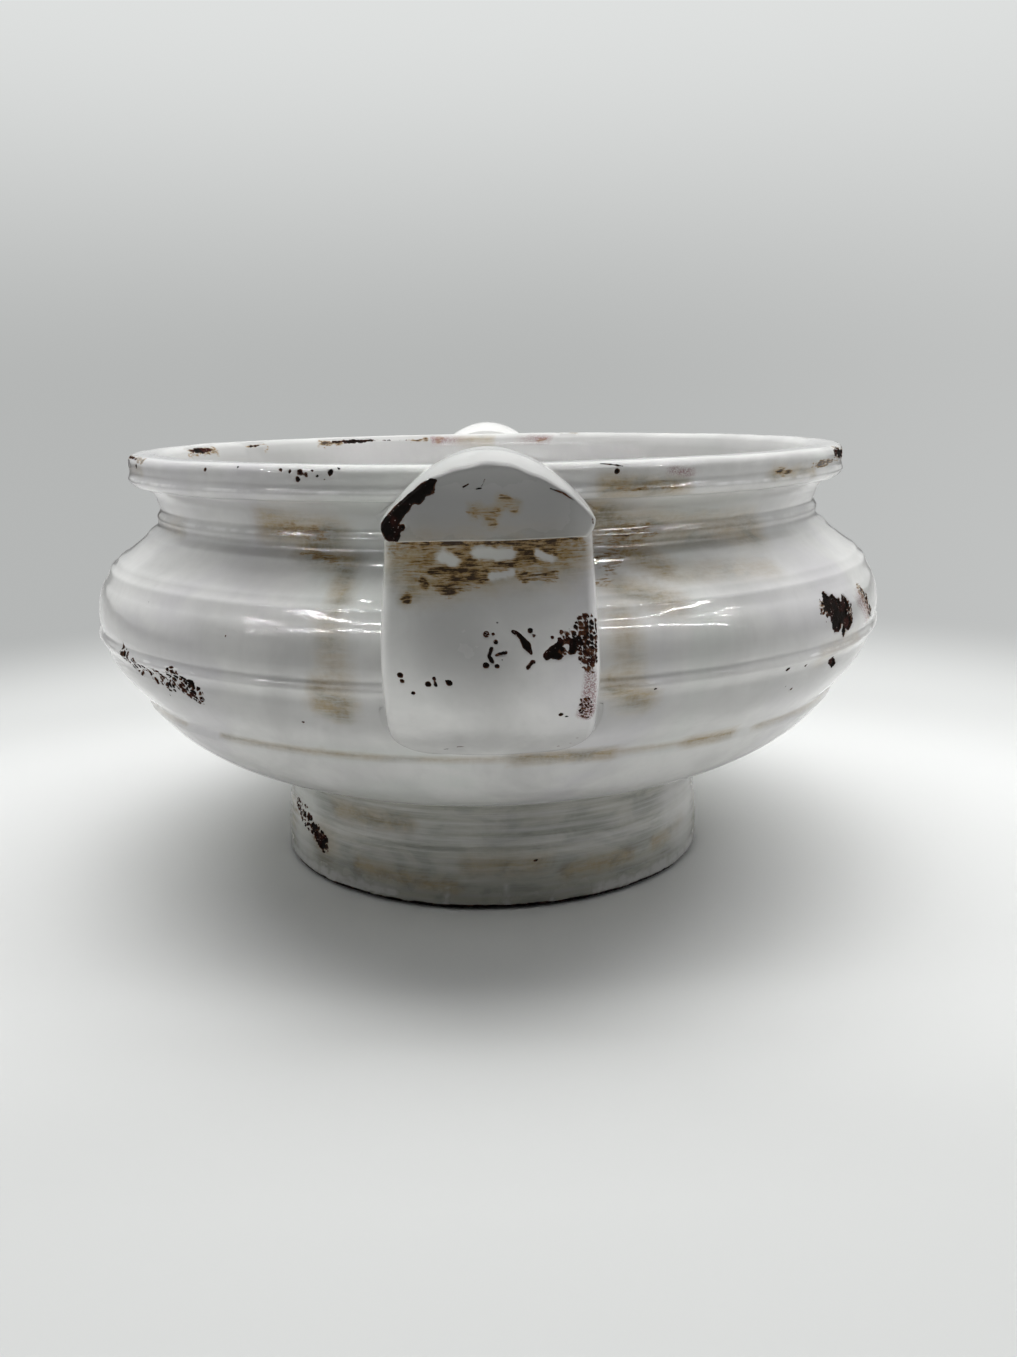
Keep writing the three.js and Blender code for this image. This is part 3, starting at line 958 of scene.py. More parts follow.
@dataclass
class Wheel:
    """Turns an outline into a thrown wall with a Geometry Nodes tree.

    Attributes:
        rail: Radius of the circle that carries the outline, in metres.
    """

    rail: float = 0.001
    tree: Optional[bpy.types.NodeTree] = None
    sockets: Dict[str, str] = field(default_factory=dict)

    def build_tree(self) -> None:
        """Builds the tree: a circle, the outline swept round it, finger rings and a slow wobble."""
        tree = bpy.data.node_groups.new("thrown_wall", "GeometryNodeTree")
        tree.interface.new_socket("Geometry", in_out="OUTPUT", socket_type="NodeSocketGeometry")
        tree.interface.new_socket("Geometry", in_out="INPUT", socket_type="NodeSocketGeometry")
        wanted = (
            ("Columns", "NodeSocketInt"), ("Ring Height", "NodeSocketFloat"),
            ("Ring Spacing", "NodeSocketFloat"), ("Wobble", "NodeSocketFloat"),
            ("Material", "NodeSocketMaterial"))
        for name, kind in wanted:
            self.sockets[name] = tree.interface.new_socket(name, in_out="INPUT", socket_type=kind).identifier
        sheet = NodeSheet(tree)
        given = sheet.add("NodeGroupInput").outputs
        outline = sheet.add("GeometryNodeMeshToCurve", {0: given["Geometry"]})
        circle = sheet.add(
            "GeometryNodeCurvePrimitiveCircle", {"Resolution": given["Columns"], "Radius": self.rail})
        swept = sheet.add(
            "GeometryNodeCurveToMesh", {"Curve": circle.outputs[0], "Profile Curve": outline.outputs[0]})
        joined = sheet.add("GeometryNodeMergeByDistance", {"Geometry": swept.outputs[0], "Distance": MERGE})
        place = sheet.add("GeometryNodeInputPosition").outputs[0]
        parts = sheet.parts(place)
        height = sheet.math("DIVIDE", parts[2], given["Ring Spacing"])
        slow = sheet.vector("SCALE", place, (0.0, 0.0, 0.0))
        slow.node.inputs["Scale"].default_value = 9.0
        turned = sheet.parts(slow)
        where = sheet.add("ShaderNodeCombineXYZ", {0: turned[0], 1: turned[1], 2: height}).outputs[0]
        rings = sheet.math("SUBTRACT", sheet.noise(where, 1.0, detail=2.0, rough=0.55), 0.5)
        sway = sheet.math("SUBTRACT", sheet.noise(place, 11.0, detail=1.0), 0.5)
        push = sheet.math(
            "ADD", sheet.times(rings, sheet.times(given["Ring Height"], 2.0)),
            sheet.times(sway, sheet.times(given["Wobble"], 2.0)))
        normal = sheet.add("GeometryNodeInputNormal").outputs[0]
        offset = sheet.add("ShaderNodeVectorMath", {0: normal, "Scale": push}, operation="SCALE").outputs[0]
        moved = sheet.add("GeometryNodeSetPosition", {"Geometry": joined.outputs[0], "Offset": offset})
        real = sheet.add("GeometryNodeRealizeInstances", {0: moved.outputs[0]})
        dressed = sheet.add(
            "GeometryNodeSetMaterial", {"Geometry": real.outputs[0], "Material": given["Material"]})
        sheet.add("NodeGroupOutput", {0: dressed.outputs[0]})
        self.tree = tree

    def throw(self, name: str, outline: Array, closed: bool, columns: int, ring_height: float,
              ring_spacing: float, wobble: float, material: Material) -> Mesh:
        """Turns one outline.

        Args:
            name: The mesh's name.
            outline: Radius and height of each point, in millimetres.
            closed: True where the outline meets itself away from the axis.
            columns: Faces round the wall.
            ring_height: How far the finger rings stand out, in millimetres.
            ring_spacing: Distance between the rings.
            wobble: How far the wall is out of true.
            material: Its finish.

        Returns:
            A plain mesh in metres.
        """
        if self.tree is None:
            self.build_tree()
        points = rows_of(outline[:, 0] * MM - self.rail, -outline[:, 1] * MM, np.zeros(len(outline)))
        edges = [(k, k + 1) for k in range(len(points) - 1)]
        if closed:
            edges.append((len(points) - 1, 0))
        wire = bpy.data.meshes.new(name + "_outline")
        wire.from_pydata(points.tolist(), edges, [])
        carrier = show(name + "_outline", wire)
        modifier = carrier.modifiers.new("thrown_wall", "NODES")
        modifier.node_group = self.tree
        values = {"Columns": columns, "Ring Height": ring_height * MM, "Ring Spacing": ring_spacing * MM,
                  "Wobble": wobble * MM, "Material": material}
        for key, value in values.items():
            modifier[self.sockets[key]] = value
        graph = bpy.context.evaluated_depsgraph_get()
        mesh = bpy.data.meshes.new_from_object(carrier.evaluated_get(graph))
        mesh.name = name
        bpy.data.objects.remove(carrier)
        bpy.data.meshes.remove(wire)
        settle(mesh)
        return mesh


# The bowl

@dataclass
class ThrownBowl:
    """The bowl's wall from its underside over the rim to its floor. Sizes are in millimetres.

    Attributes:
        base_radius, base_z: The edge of the underside.
        crease_radius, crease_z, crease_depth, crease_width: The crease low on the wall.
        belt_lower, belly, belt_upper, neck: Radius and height of the outline's main points.
        under_swell, lower_swell, belly_rise, belly_fall, shoulder: How full the outline is between them.
        rim_radius, rim_z, rim_band, rim_width, rim_round, rim_tuck: The rolled rim.
        lip_inset: How far inside the rim's inner edge its marks lie.
        wall: Thickness of the wall.
        floor_z, floor_flat, floor_corner, floor_bend: The floor and its rounded edge.
        neck_lift, neck_fall, wall_sag: How full the inner outline is.
        columns, steps, cuts: Faces round the wall, steps along the underside and inside, and cuts at chips.
        rings: Height, spacing and wobble of the finger rings.
        inner_shade: How strong the painted shade inside is.
        ledges: Heights at which a painted highlight line runs.
        ridges: Height, size and width of each turned ridge or groove.
    """

    base_radius: float = 88.0
    base_z: float = 41.3
    crease_radius: float = 138.6
    crease_z: float = 73.3
    crease_depth: float = 1.0
    crease_width: float = 2.4
    belt_lower: Pair = (151.0, 91.3)
    belly: Pair = (153.6, 102.8)
    belt_upper: Pair = (147.2, 121.8)
    neck: Pair = (128.6, 140.8)
    rim_radius: float = 138.4
    rim_z: float = 163.3
    rim_band: float = 11.0
    rim_width: float = 13.0
    rim_round: float = 3.2
    wall: float = 8.0
    floor_z: float = 50.3
    under_swell: Pair = (0.70, 0.25 * 32)
    lower_swell: Pair = (0.3, 0.55 * 18)
    belly_rise: float = 0.4 * 11.5
    belly_fall: float = 0.62 * 19
    shoulder: float = 0.36
    rim_tuck: float = 1.6
    lip_inset: float = 0.6
    floor_flat: float = 59.0
    floor_corner: float = 77.0
    floor_bend: Pair = (86.0, 54.3)
    neck_lift: float = 9.0
    neck_fall: float = 9.5
    wall_sag: float = 6.4
    columns: int = 300
    steps: Pair = (8.0, 4.2)
    cuts: int = 4
    rings: Triple = (0.16, 7.0, 0.5)
    inner_shade: float = 0.6
    ledges: Triple = (98.7, 140.9, 155.0)
    ridges: Tuple[Triple, ...] = (
        (157.2, -0.3, 1.3), (154.5, 0.45, 0.9), (147.4, -0.3, 1.6), (143.0, -0.55, 1.5), (140.0, 0.9, 1.5),
        (136.8, -0.3, 1.2), (133.6, 0.5, 1.3), (124.2, 0.45, 1.2), (121.4, 0.45, 1.0), (117.8, -0.3, 1.8),
        (100.9, -0.7, 1.5), (97.9, 1.0, 1.5), (93.6, -0.5, 1.8))

    def outside(self) -> Array:
        """The wall's outer outline from the foot up to the rim's crest.

        Returns:
            Radius and height of each point.
        """
        half, crease, z = self.crease_width / 2, self.crease_radius, self.crease_z
        low, wide, high, neck = self.belt_lower, self.belly, self.belt_upper, self.neck
        out, up = self.under_swell
        swell = (self.base_radius + out * (crease - self.base_radius), self.base_z + up)
        lean, lift = self.lower_swell
        band_z, tuck = self.rim_z - self.rim_band, self.rim_tuck
        s = self.shoulder * (neck[1] - high[1])
        edge, soft = self.rim_radius, self.rim_round
        parts = [
            quad((self.base_radius, self.base_z), swell, (crease, z - half)),
            quad((crease, z - half), (crease - 1.6 * self.crease_depth, z), (crease, z + half), 9),
            quad((crease, z + half), (low[0] - lean * (low[0] - crease), z + lift), low),
            quad(low, (wide[0], wide[1] - self.belly_rise), wide),
            quad(wide, (wide[0], wide[1] + self.belly_fall), high),
            cubic(high, (high[0] - s, high[1] + s), (neck[0], neck[1] - s), neck),
            quad(neck, (neck[0], band_z - tuck), (edge - tuck, band_z)),
            quad((edge - tuck, band_z), (edge, band_z), (edge, band_z + soft), 9),
            np.array([(edge, self.rim_z - soft)]),
            quad((edge, self.rim_z - soft), (edge, self.rim_z), (edge - soft, self.rim_z), 9)]
        return np.vstack(parts)

    def turned(self) -> Array:
        """The outer outline with the fine ridges and grooves that the fingers left.

        Returns:
            Radius and height of each point, closer together on the ridges.
        """
        fine, coarse, finest = 0.25, 2.3, 0.6
        line = even(self.outside(), fine)
        along = directions(line)
        close = np.full(len(line), 1 / coarse)
        push = np.zeros(len(line))
        for z, height, width in self.ridges:
            swell = np.exp(-((line[:, 1] - z) / width) ** 2)
            push += height * swell
            close = np.maximum(close, swell / min(finest, 0.42 * width))
        close = np.maximum(close, ease(150.0, 152.0, line[:, 1]) / 0.9)
        line = line + rows_of(along[:, 1], -along[:, 0]) * push[:, None]
        run = np.concatenate([[0.0], np.cumsum(0.5 * fine * (close[1:] + close[:-1]))])
        return sampled(line, run, np.linspace(0.0, run[-1], int(run[-1]) + 1))

    def inside(self) -> Array:
        """The wall's inner outline from the rim's crest down to the middle of the floor.

        Returns:
            Radius and height of each point.
        """
        mouth, top, soft = self.rim_radius - self.rim_width, self.rim_z, self.rim_round
        neck_r, neck_z = self.neck[0] - self.wall, self.neck[1]
        belly_r, belly_z = self.belly[0] - self.wall, self.belly[1]
        low = (self.crease_radius - self.wall, self.crease_z - self.wall_sag)
        flat = (self.floor_flat, self.floor_z)
        parts = [
            quad((mouth + soft, top), (mouth, top), (mouth, top - soft), 9),
            quad((mouth, top - soft), (neck_r, neck_z + self.neck_lift), (neck_r, neck_z)),
            cubic((neck_r, neck_z), (neck_r, neck_z - self.neck_fall), (belly_r, self.belt_upper[1]),
                  (belly_r, belly_z)),
            cubic((belly_r, belly_z), (belly_r, self.belt_lower[1]), low, self.floor_bend),
            quad(self.floor_bend, (self.floor_corner, self.floor_z), flat),
            np.array([(0.0, self.floor_z)])]
        return np.vstack(parts)

    def radius(self, z: Union[float, Array]) -> Array:
        """The outer radius at a height."""
        line = self.outside()
        return np.interp(z, line[:, 1], line[:, 0])

    def spot(self, angle: float, z: float) -> Triple:
        """A place on the outside, by degrees round from the front handle and height."""
        return round_axis(float(self.radius(z)), angle, z)

    def crest_spot(self, angle: float, radius: float) -> Triple:
        """A place on top of the rim, by degrees round from the front handle and radius."""
        return round_axis(radius, angle, self.rim_z)

    def lip_spot(self, angle: float, z: float) -> Triple:
        """A place on the rim's inner edge, by degrees round from the front handle and height."""
        return round_axis(self.rim_radius - self.rim_width + self.lip_inset, angle, z)

    def build(self, wheel: Wheel, dresser: Dresser, glaze: Material) -> bpy.types.Object:
        """Throws, chips and stains the wall.

        Args:
            wheel: The turning tree.
            dresser: Writes the chips, stains, painted shade and painted highlight.
            glaze: The finish.

        Returns:
            The piece.
        """
        under = np.array([(0.0, self.base_z), (self.base_radius, self.base_z)])
        low, inner = self.steps
        outline = np.vstack([even(under, low)[:-1], self.turned(), even(self.inside(), inner)])
        mesh = wheel.throw("bowl_wall", outline, False, self.columns, *self.rings, glaze)
        dresser.refine(mesh, self.cuts)
        dresser.dress(mesh, inner_shade=self.inner_shade, ledges=self.ledges)
        return piece("bowl_wall", mesh, glaze, ["bowl_body"])


@dataclass
class ThrownFoot:
    """The foot ring and the clay smeared into its joint with the bowl. Sizes are in millimetres.

    Attributes:
        radius, height, wall, edge: The ring, its wall and its rounded lower edge.
        waist, waist_z, flare, flare_from: How it narrows and opens again towards the bowl.
        taper, shelf, tuck: The inner wall's slope, and the top that is hidden in the bowl.
        spot_inset: How far inside the widest radius its marks lie.
        columns: Faces round the wall.
        rings, joint_rings: Height, spacing and wobble of the finger rings.
    """

    radius: float = 86.0
    height: float = 41.0
    wall: float = 13.0
    waist: float = 1.4
    flare: float = 2.0
    taper: float = 6.0
    edge: float = 2.0
    waist_z: Pair = (18.0, 25.0)
    flare_from: float = 0.86
    shelf: float = 15.0
    tuck: float = 1.2
    spot_inset: float = 0.8
    columns: int = 330
    rings: Triple = (0.34, 2.6, 0.35)
    joint_rings: Triple = (0.1, 4.0, 0.2)

    def outline(self) -> Array:
        """The foot's section, closed.

        Returns:
            Radius and height of each point.
        """
        wide, edge, high = self.radius, self.edge, self.height
        slim, top, hollow = wide - self.waist, wide + self.flare, wide - self.wall
        low, middle = self.waist_z
        outer = np.vstack([
            quad((wide - edge, 0.0), (wide, 0.0), (wide, edge), 8),
            quad((wide, edge), (wide, low), (slim, middle)),
            quad((slim, middle), (slim, self.flare_from * high), (top, high), 20)])
        inner = np.array([
            (top - 1.0, high + self.tuck), (top - self.shelf, high + self.tuck), (hollow - self.taper, high),
            (hollow, edge), (hollow + edge, 0.0)])
        base = np.array([inner[-1], outer[0]])
        return np.vstack([even(outer, 0.9), even(inner, 3.0), even(base, 1.5)[1:-1]])

    def spot(self, angle: float, z: float) -> Triple:
        """A place on the foot's outside, by degrees round from the front handle and height."""
        return round_axis(self.radius - self.spot_inset, angle, z)

    def edge_spot(self, angle: float, z: float) -> Triple:
        """A place below the foot's lower edge, by degrees round from the front handle and height."""
        return round_axis(self.radius - self.edge, angle, z)

    def build(self, wheel: Wheel, dresser: Dresser, glaze: Material) -> List[bpy.types.Object]:
        """Throws the foot and smears its joint.

        Args:
            wheel: The turning tree.
            dresser: Writes the chips, stains and painted shade.
            glaze: The finish.

        Returns:
            The two pieces.
        """
        ring = wheel.throw("foot_wall", self.outline(), True, self.columns, *self.rings, glaze)
        dresser.refine(ring, 1)
        dresser.dress(ring)
        top, high = self.radius + self.flare, self.height
        hollow = quad((top - 3.0, high - 7.0), (top - 0.6, high + 0.6), (top + 10.0, high + 4.0), 14)
        section = np.vstack([hollow, [(top, high + 5.0)], [(top - 6.0, high)]])
        joint = wheel.throw("foot_joint", section, True, self.columns, *self.joint_rings, glaze)
        dresser.dress(joint)
        return [piece("foot_wall", ring, glaze, ["foot_ring"]),
                piece("foot_joint", joint, glaze, ["foot_luting_coil"])]


# The handles

@dataclass
class StrapHandle:
    """A half-round lug over the rim with a broad strap under it. Sizes are in millimetres.

    Attributes:
        bowl, side: The bowl that carries it, and where.
        face: The end face's distance from the axis.
        lug_half, lug_top, lug_bottom, cheek, undercut, lug_edge: The lug's section.
        lug_taper, taper_length: How much slimmer and lower it is at its end face, and how far back.
        fold, fold_from: How the end face bends back at its right.
        wave, right_lift: How wavy its top is near the end face, and how far its lower right side is raised.
        tongue, tongue_drop, tongue_lead: How far it lies over the rim, how far it sinks and from where.
        flare, flare_drop, flare_length, flare_fall, flare_tuck: The clay round its root.
        strap_top, strap_middle, strap_root_z: The strap's middle line, as distance from the axis and height.
        top_width, root_width, thickness, root_thickness, crown, strap_edge, root_corner: Its section.
        joint_top, joint_low, joint_fade, joint_step, joint_depth: The clay round its root.
        ring_points, strap_step: Points round the lug, and steps along the strap.
    """

    bowl: ThrownBowl
    side: Side
    face: float = 178.0
    lug_half: float = 29.0
    lug_top: float = 168.6
    lug_bottom: float = 145.4
    cheek: float = 4.6
    undercut: float = 2.0
    lug_edge: float = 1.5
    lug_taper: Pair = (0.5, 2.4)
    tongue: float = 9.0
    tongue_drop: float = 4.0
    tongue_lead: float = 3.0
    flare: float = 9.0
    flare_drop: float = 5.0
    flare_length: float = 11.0
    flare_fall: float = 8.0
    flare_tuck: float = 3.0
    strap_top: Pair = (165.5, 145.1)
    strap_middle: Pair = (166.6, 121.8)
    strap_root_z: float = 80.8
    top_width: float = 56.5
    root_width: float = 61.5
    thickness: float = 11.0
    root_thickness: float = 9.0
    crown: float = 1.2
    strap_edge: float = 3.4
    root_corner: float = 13.0
    taper_length: float = 17.0
    fold: float = 0.10
    fold_from: float = 22.8
    wave: float = 0.22
    right_lift: float = 0.7
    joint_top: float = 93.0
    joint_low: float = 2.4
    joint_fade: float = 14.0
    joint_step: float = 0.8
    joint_depth: float = 2.0
    ring_points: int = 240
    strap_step: float = 0.52

    def lug_section(self, half: float, bottom: float, top: float) -> Array:
        """The lug's outline seen from its end.

        Args:
            half: Half of its width.
            bottom: Its lowest height.
            top: Its highest height.

        Returns:
            Sideways place and height of each point, closed.
        """
        widest = bottom + self.cheek
        right = np.vstack([
            np.array([(0.0, bottom), (half - self.undercut, bottom)]),
            quad((half - self.undercut, bottom), (half, bottom + 0.4 * self.cheek), (half, widest), 12),
            cubic((half, widest), (half, widest + 0.06 * (top - widest)), (0.60 * half, top), (0.0, top), 60),
        ])
        left = right[::-1] * np.array([-1.0, 1.0])
        line = np.vstack([right, left])
        run = lengths(line)
        return sampled(line, run, np.linspace(0.0, run[-1], self.ring_points + 1)[:-1])

    def folded(self, x: Array) -> Array:
        """How far the end face bends back at given sideways places."""
        return self.fold * np.maximum(x - self.fold_from, 0.0)

    def lug_rings(self) -> List[Array]:
        """Rings over the lug, from the middle of its end face to its tip over the rim.

        Returns:
            The rings' points.
        """
        half, low, high, edge = self.lug_half, self.lug_bottom, self.lug_top, self.lug_edge
        rings: List[Array] = []
        inner = self.lug_section(
            half - edge - self.lug_taper[0], low + 0.3 * edge, high - edge - self.lug_taper[1])
        middle = np.array([0.0, (low + high) / 2 - 1.5])
        for share in np.linspace(0.03, 1.0, 46):
            flat = middle + share * (inner - middle)
            bent = self.face - self.folded(flat[:, 0])
            rings.append(rows_of(flat[:, 0], -bent, flat[:, 1]))
        for turn in np.linspace(0.0, math.pi / 2, 8)[1:]:
            inset = edge * (1 - math.sin(turn))
            line = self.lug_section(
                half - inset - self.lug_taper[0], low + 0.3 * inset, high - inset - self.lug_taper[1])
            away = self.face - edge * (1 - math.cos(turn)) - self.folded(line[:, 0])
            rings.append(rows_of(line[:, 0], -away, line[:, 1]))
        inner_end, lead = self.bowl.rim_radius - self.tongue, self.tongue_lead
        for away in np.linspace(self.face - edge, inner_end, 52)[1:]:
            over = max(0.0, (self.bowl.rim_radius + lead - away) / (self.tongue + lead))
            slim = max(0.0, 1 - (self.face - edge - away) / self.taper_length) ** 1.6
            line = self.lug_section(half - self.lug_taper[0] * slim, low,
                                    high - self.tongue_drop * over ** 1.5 - self.lug_taper[1] * slim)
            fold = self.folded(line[:, 0]) * slim
            rings.append(rows_of(line[:, 0], fold - away, line[:, 1]))
        for ring in rings:
            upper = ease(self.lug_bottom + 4.0, self.lug_top - 3.0, ring[:, 2])
            near = ease(self.face - 22.0, self.face - 4.0, -ring[:, 1])
            uneven = np.sin(0.33 * ring[:, 0] + 0.5) + 0.6 * np.sin(0.81 * ring[:, 0] + 2.2)
            ring[:, 2] += upper * near * self.wave * uneven
            ring[:, 2] += ease(4.0, 30.0, ring[:, 0]) * (1 - upper) * self.right_lift
        return rings

    def lug_joint_rings(self) -> List[Array]:
        """Rings of the clay that spreads from the lug's root onto the rim and neck.

        Returns:
            The rings' points.
        """
        rings: List[Array] = []
        for along in np.linspace(0.0, 1.0, 26):
            spread = 1 - math.sqrt(max(0.0, 1 - along * along))
            line = self.lug_section(self.lug_half - 0.5 + self.flare * spread,
                                    self.lug_bottom + 0.5 - self.flare_drop * spread,
                                    self.lug_top - 0.6 - self.flare_fall * along)
            wall = np.sqrt(np.maximum(self.bowl.radius(line[:, 1]) ** 2 - line[:, 0] ** 2, 1.0))
            away = wall - 1.3 * along ** 3 + self.flare_length * (1 - along)
            rings.append(rows_of(line[:, 0], -away, line[:, 1]))
        deep = rings[-1].copy()
        deep[:, 1] += self.flare_tuck
        rings.append(deep)
        return rings

    def strap_line(self) -> Array:
        """The middle line of the strap.

        Returns:
            Distance from the axis and height of each point.
        """
        root = (float(self.bowl.radius(self.strap_root_z)) - self.root_thickness / 2, self.strap_root_z)
        top, mid = self.strap_top, self.strap_middle
        drop = (top[1] - mid[1]) / 3
        fall = mid[1] - root[1]
        bend, turn = (mid[0], mid[1] - 0.55 * fall), (root[0] + 0.5 * fall, root[1] + 0.38 * fall)
        return np.vstack([
            np.array([(top[0], top[1] + 3.0)]),
            cubic(top, (top[0], top[1] - drop), (mid[0], mid[1] + drop), mid, 40),
            cubic(mid, bend, turn, root, 70)[1:]])

    def half_width(self, share: Array) -> Array:
        """Half of the strap's width at given shares of its length."""
        return 0.5 * np.interp(share, [0.0, 0.5], [self.top_width, self.root_width])

    def half_thick(self, share: Array) -> Array:
        """Half of its thickness there."""
        return 0.5 * (self.thickness + (self.root_thickness - self.thickness) * share)

    def strap_rings(self) -> List[Array]:
        """Rings round the strap from under the lug to its root in the belly.

        Returns:
            The rings' points.
        """
        line = even(self.strap_line(), self.strap_step)
        run = np.linspace(0.0, 1.0, len(line))
        length = self.strap_step * (len(line) - 1)
        along = directions(line)
        rings: List[Array] = []
        for k, share in enumerate(run):
            half = self.half_width(share)
            left = length * (1 - share)
            if left < self.root_corner:
                half -= self.root_corner - math.sqrt(self.root_corner ** 2 - (self.root_corner - left) ** 2)
            section = self.strap_section(half, self.half_thick(share))
            out = np.array([-along[k, 1], along[k, 0]])
            away = line[k, 0] + out[0] * section[:, 1]
            z = line[k, 1] + out[1] * section[:, 1]
            rings.append(rows_of(section[:, 0], -away, z))
        return rings

    def strap_section(self, half: float, thick: float) -> Array:
        """The strap cut across: a crowned outer face, round edges and a flat inner face.

        Args:
            half: Half of its width.
            thick: Half of its thickness.

        Returns:
            Sideways place and outward place of each point, closed.
        """
        edge = min(self.strap_edge, 0.9 * half)
        flat = half - edge
        x = np.linspace(-flat, flat, 130)
        outer = rows_of(x, thick + self.crown * (1 - (x / half) ** 2))
        lift = self.crown * (1 - (flat / half) ** 2)
        turn = np.linspace(math.pi / 2, -math.pi / 2, 25)[1:-1]
        rise = np.where(turn > 0, thick + lift, thick)
        right = rows_of(flat + edge * np.cos(turn), rise * np.sin(turn))
        x = np.linspace(flat, -flat, 36)
        inner = rows_of(x, np.full(len(x), -thick))
        left = right[::-1] * np.array([-1.0, 1.0])
        return np.vstack([outer, right, inner, left])

    def strap_joint_rings(self) -> List[Array]:
        """Rings of the clay smeared round the strap's root, down one side, below it and up the other.

        Returns:
            The rings' points.
        """
        half, corner = self.root_width / 2 - 0.2, self.root_corner
        low, deep = self.strap_root_z - self.joint_low, -self.joint_depth
        turn = np.linspace(math.pi, 1.5 * math.pi, 24)
        bend = rows_of(corner - half + corner * np.cos(turn), low + corner + corner * np.sin(turn))
        left = np.vstack([[(-half, self.joint_top)], bend])
        path = even(np.vstack([left, left[::-1] * np.array([-1.0, 1.0])]), self.joint_step)
        along = directions(path)
        outward = rows_of(along[:, 1], -along[:, 0])
        line = self.strap_line()
        rings: List[Array] = []
        count = len(path)
        for k in range(count):
            ends = min(k, count - 1 - k) / self.joint_fade
            size = 0.15 + 0.85 * min(1.0, ends) ** 2
            z_here = path[k, 1]
            strap = np.interp(-z_here, -line[:, 1], line[:, 0]) + 2.0
            step = max(0.5, min(2.0, 0.55 * (strap - float(self.bowl.radius(z_here)))))
            curve = quad((-1.6, step * size), (0.1, 0.05), (3.4 * size + 0.3, -0.5), 12)
            curve[:, 1] -= 1.2 * (1 - size)
            section = np.vstack([curve, [(0.5, deep)], [(-2.6, deep)], [(-2.8, 0.2)]])
            flat = path[k] - outward[k] * section[:, :1]
            wall = np.sqrt(self.bowl.radius(flat[:, 1]) ** 2 - flat[:, 0] ** 2) + section[:, 1]
            rings.append(rows_of(flat[:, 0], -wall, flat[:, 1]))
        return rings

    def face_spot(self, x: float, z: float) -> Triple:
        """A place on the lug's end face, by sideways place and height."""
        return tuple(self.side.placed(np.array([x, -self.face, z])))

    def strap_spot(self, x: float, z: float) -> Triple:
        """A place on the strap's outer face.

        Args:
            x: Its sideways place.
            z: Its height.

        Returns:
            The place.
        """
        line = self.strap_line()
        along = directions(line)
        run = np.linspace(0.0, 1.0, len(line))
        thick = self.half_thick(run) + self.crown
        outer = line + rows_of(-along[:, 1], along[:, 0]) * thick[:, None]
        away = float(np.interp(-z, -outer[:, 1], outer[:, 0]))
        half = float(np.interp(-z, -line[:, 1], self.half_width(run)))
        past = min(1.0, max(0.0, (abs(x) - half + self.strap_edge) / self.strap_edge))
        away -= self.crown * (x / half) ** 2 + 0.5 * self.thickness * (1 - math.sqrt(1 - past * past))
        return tuple(self.side.placed(np.array([x, -away, z])))

    def build(self, dresser: Dresser, glaze: Material) -> List[bpy.types.Object]:
        """Makes the lug, the strap and the clay in their joints.

        Args:
            dresser: Writes the chips, stains and painted shade.
            glaze: The finish.

        Returns:
            The four pieces.
        """
        side = self.side.value
        made = []
        plan = (
            ("lug", self.lug_rings(), "handle_lug", 0.35),
            ("strap", self.strap_rings(), "handle_strap", 0.3),
            ("lug_joint", self.lug_joint_rings(), "lug_luting_coil", 0.2),
            ("strap_joint", self.strap_joint_rings(), "strap_luting_coil", 0.2))
        for name, rings, node, lumps in plan:
            points, faces = loft([self.side.placed(ring) for ring in rings])
            mesh = skin(f"{side}_{name}", points, faces)
            dresser.dress(mesh, lumps)
            made.append(piece(f"{side}_{name}", mesh, glaze, [f"{side}_{node}"]))
        return made


# Where the chips, stains and painted shade are

@dataclass(frozen=True)
class Brush:
    """Lays marks on one surface.

    Attributes:
        wear_and_shade: The map that takes the marks.
        spot: Turns two numbers into a place on the surface.
    """

    wear_and_shade: WearAndShadeMap
    spot: Spot

    def dots(self, kind: WearAndShade, *rows: Row, **more: float) -> None:
        """Lays round marks.

        Args:
            kind: What they do to the glaze.
            *rows: The two numbers and the size of each mark.
            **more: Other fields of the marks.
        """
        for a, z, size in rows:
            self.wear_and_shade.add(kind, self.spot(a, z), size, **more)

    def strokes(self, kind: WearAndShade, *rows: Row, **more: float) -> None:
        """Lays straight marks.

        Args:
            kind: What they do to the glaze.
            *rows: Each mark's start, end, size and, if it differs, size at the end.
            **more: Other fields of the marks.
        """
        for a, z, b, w, *sizes in rows:
            self.wear_and_shade.add(kind, self.spot(a, z), sizes[0], self.spot(b, w), sizes[-1], **more)

    def washes(self, kind: WearAndShade, *rows: Row, **more: float) -> None:
        """Lays straight stains, each with a strength of its own.

        Args:
            kind: What they do to the glaze.
            *rows: Each stain's start, end, size and strength.
            **more: Other fields of the marks.
        """
        for *row, strength in rows:
            self.strokes(kind, row, strength=strength, **more)

    def porous(self, *rows: Row, **more: float) -> None:
        """Lays patches of pores.

        Args:
            *rows: Each patch's start, end, size or sizes, grain and fill.
            **more: Other fields of the marks.
        """
        for *row, grain, fill in rows:
            self.strokes(CHIP, row, grain=grain, fill=fill, **more)

    def bend(self, kind: WearAndShade, *rows: Row, **more: float) -> None:
        """Lays a bent mark.

        Args:
            kind: What it does to the glaze.
            *rows: The two numbers of each of its points and its size there.
            **more: Other fields of the mark.
        """
        spots = [self.spot(a, z) for a, z, _ in rows]
        self.wear_and_shade.chain(kind, spots, [size for *_, size in rows], **more)


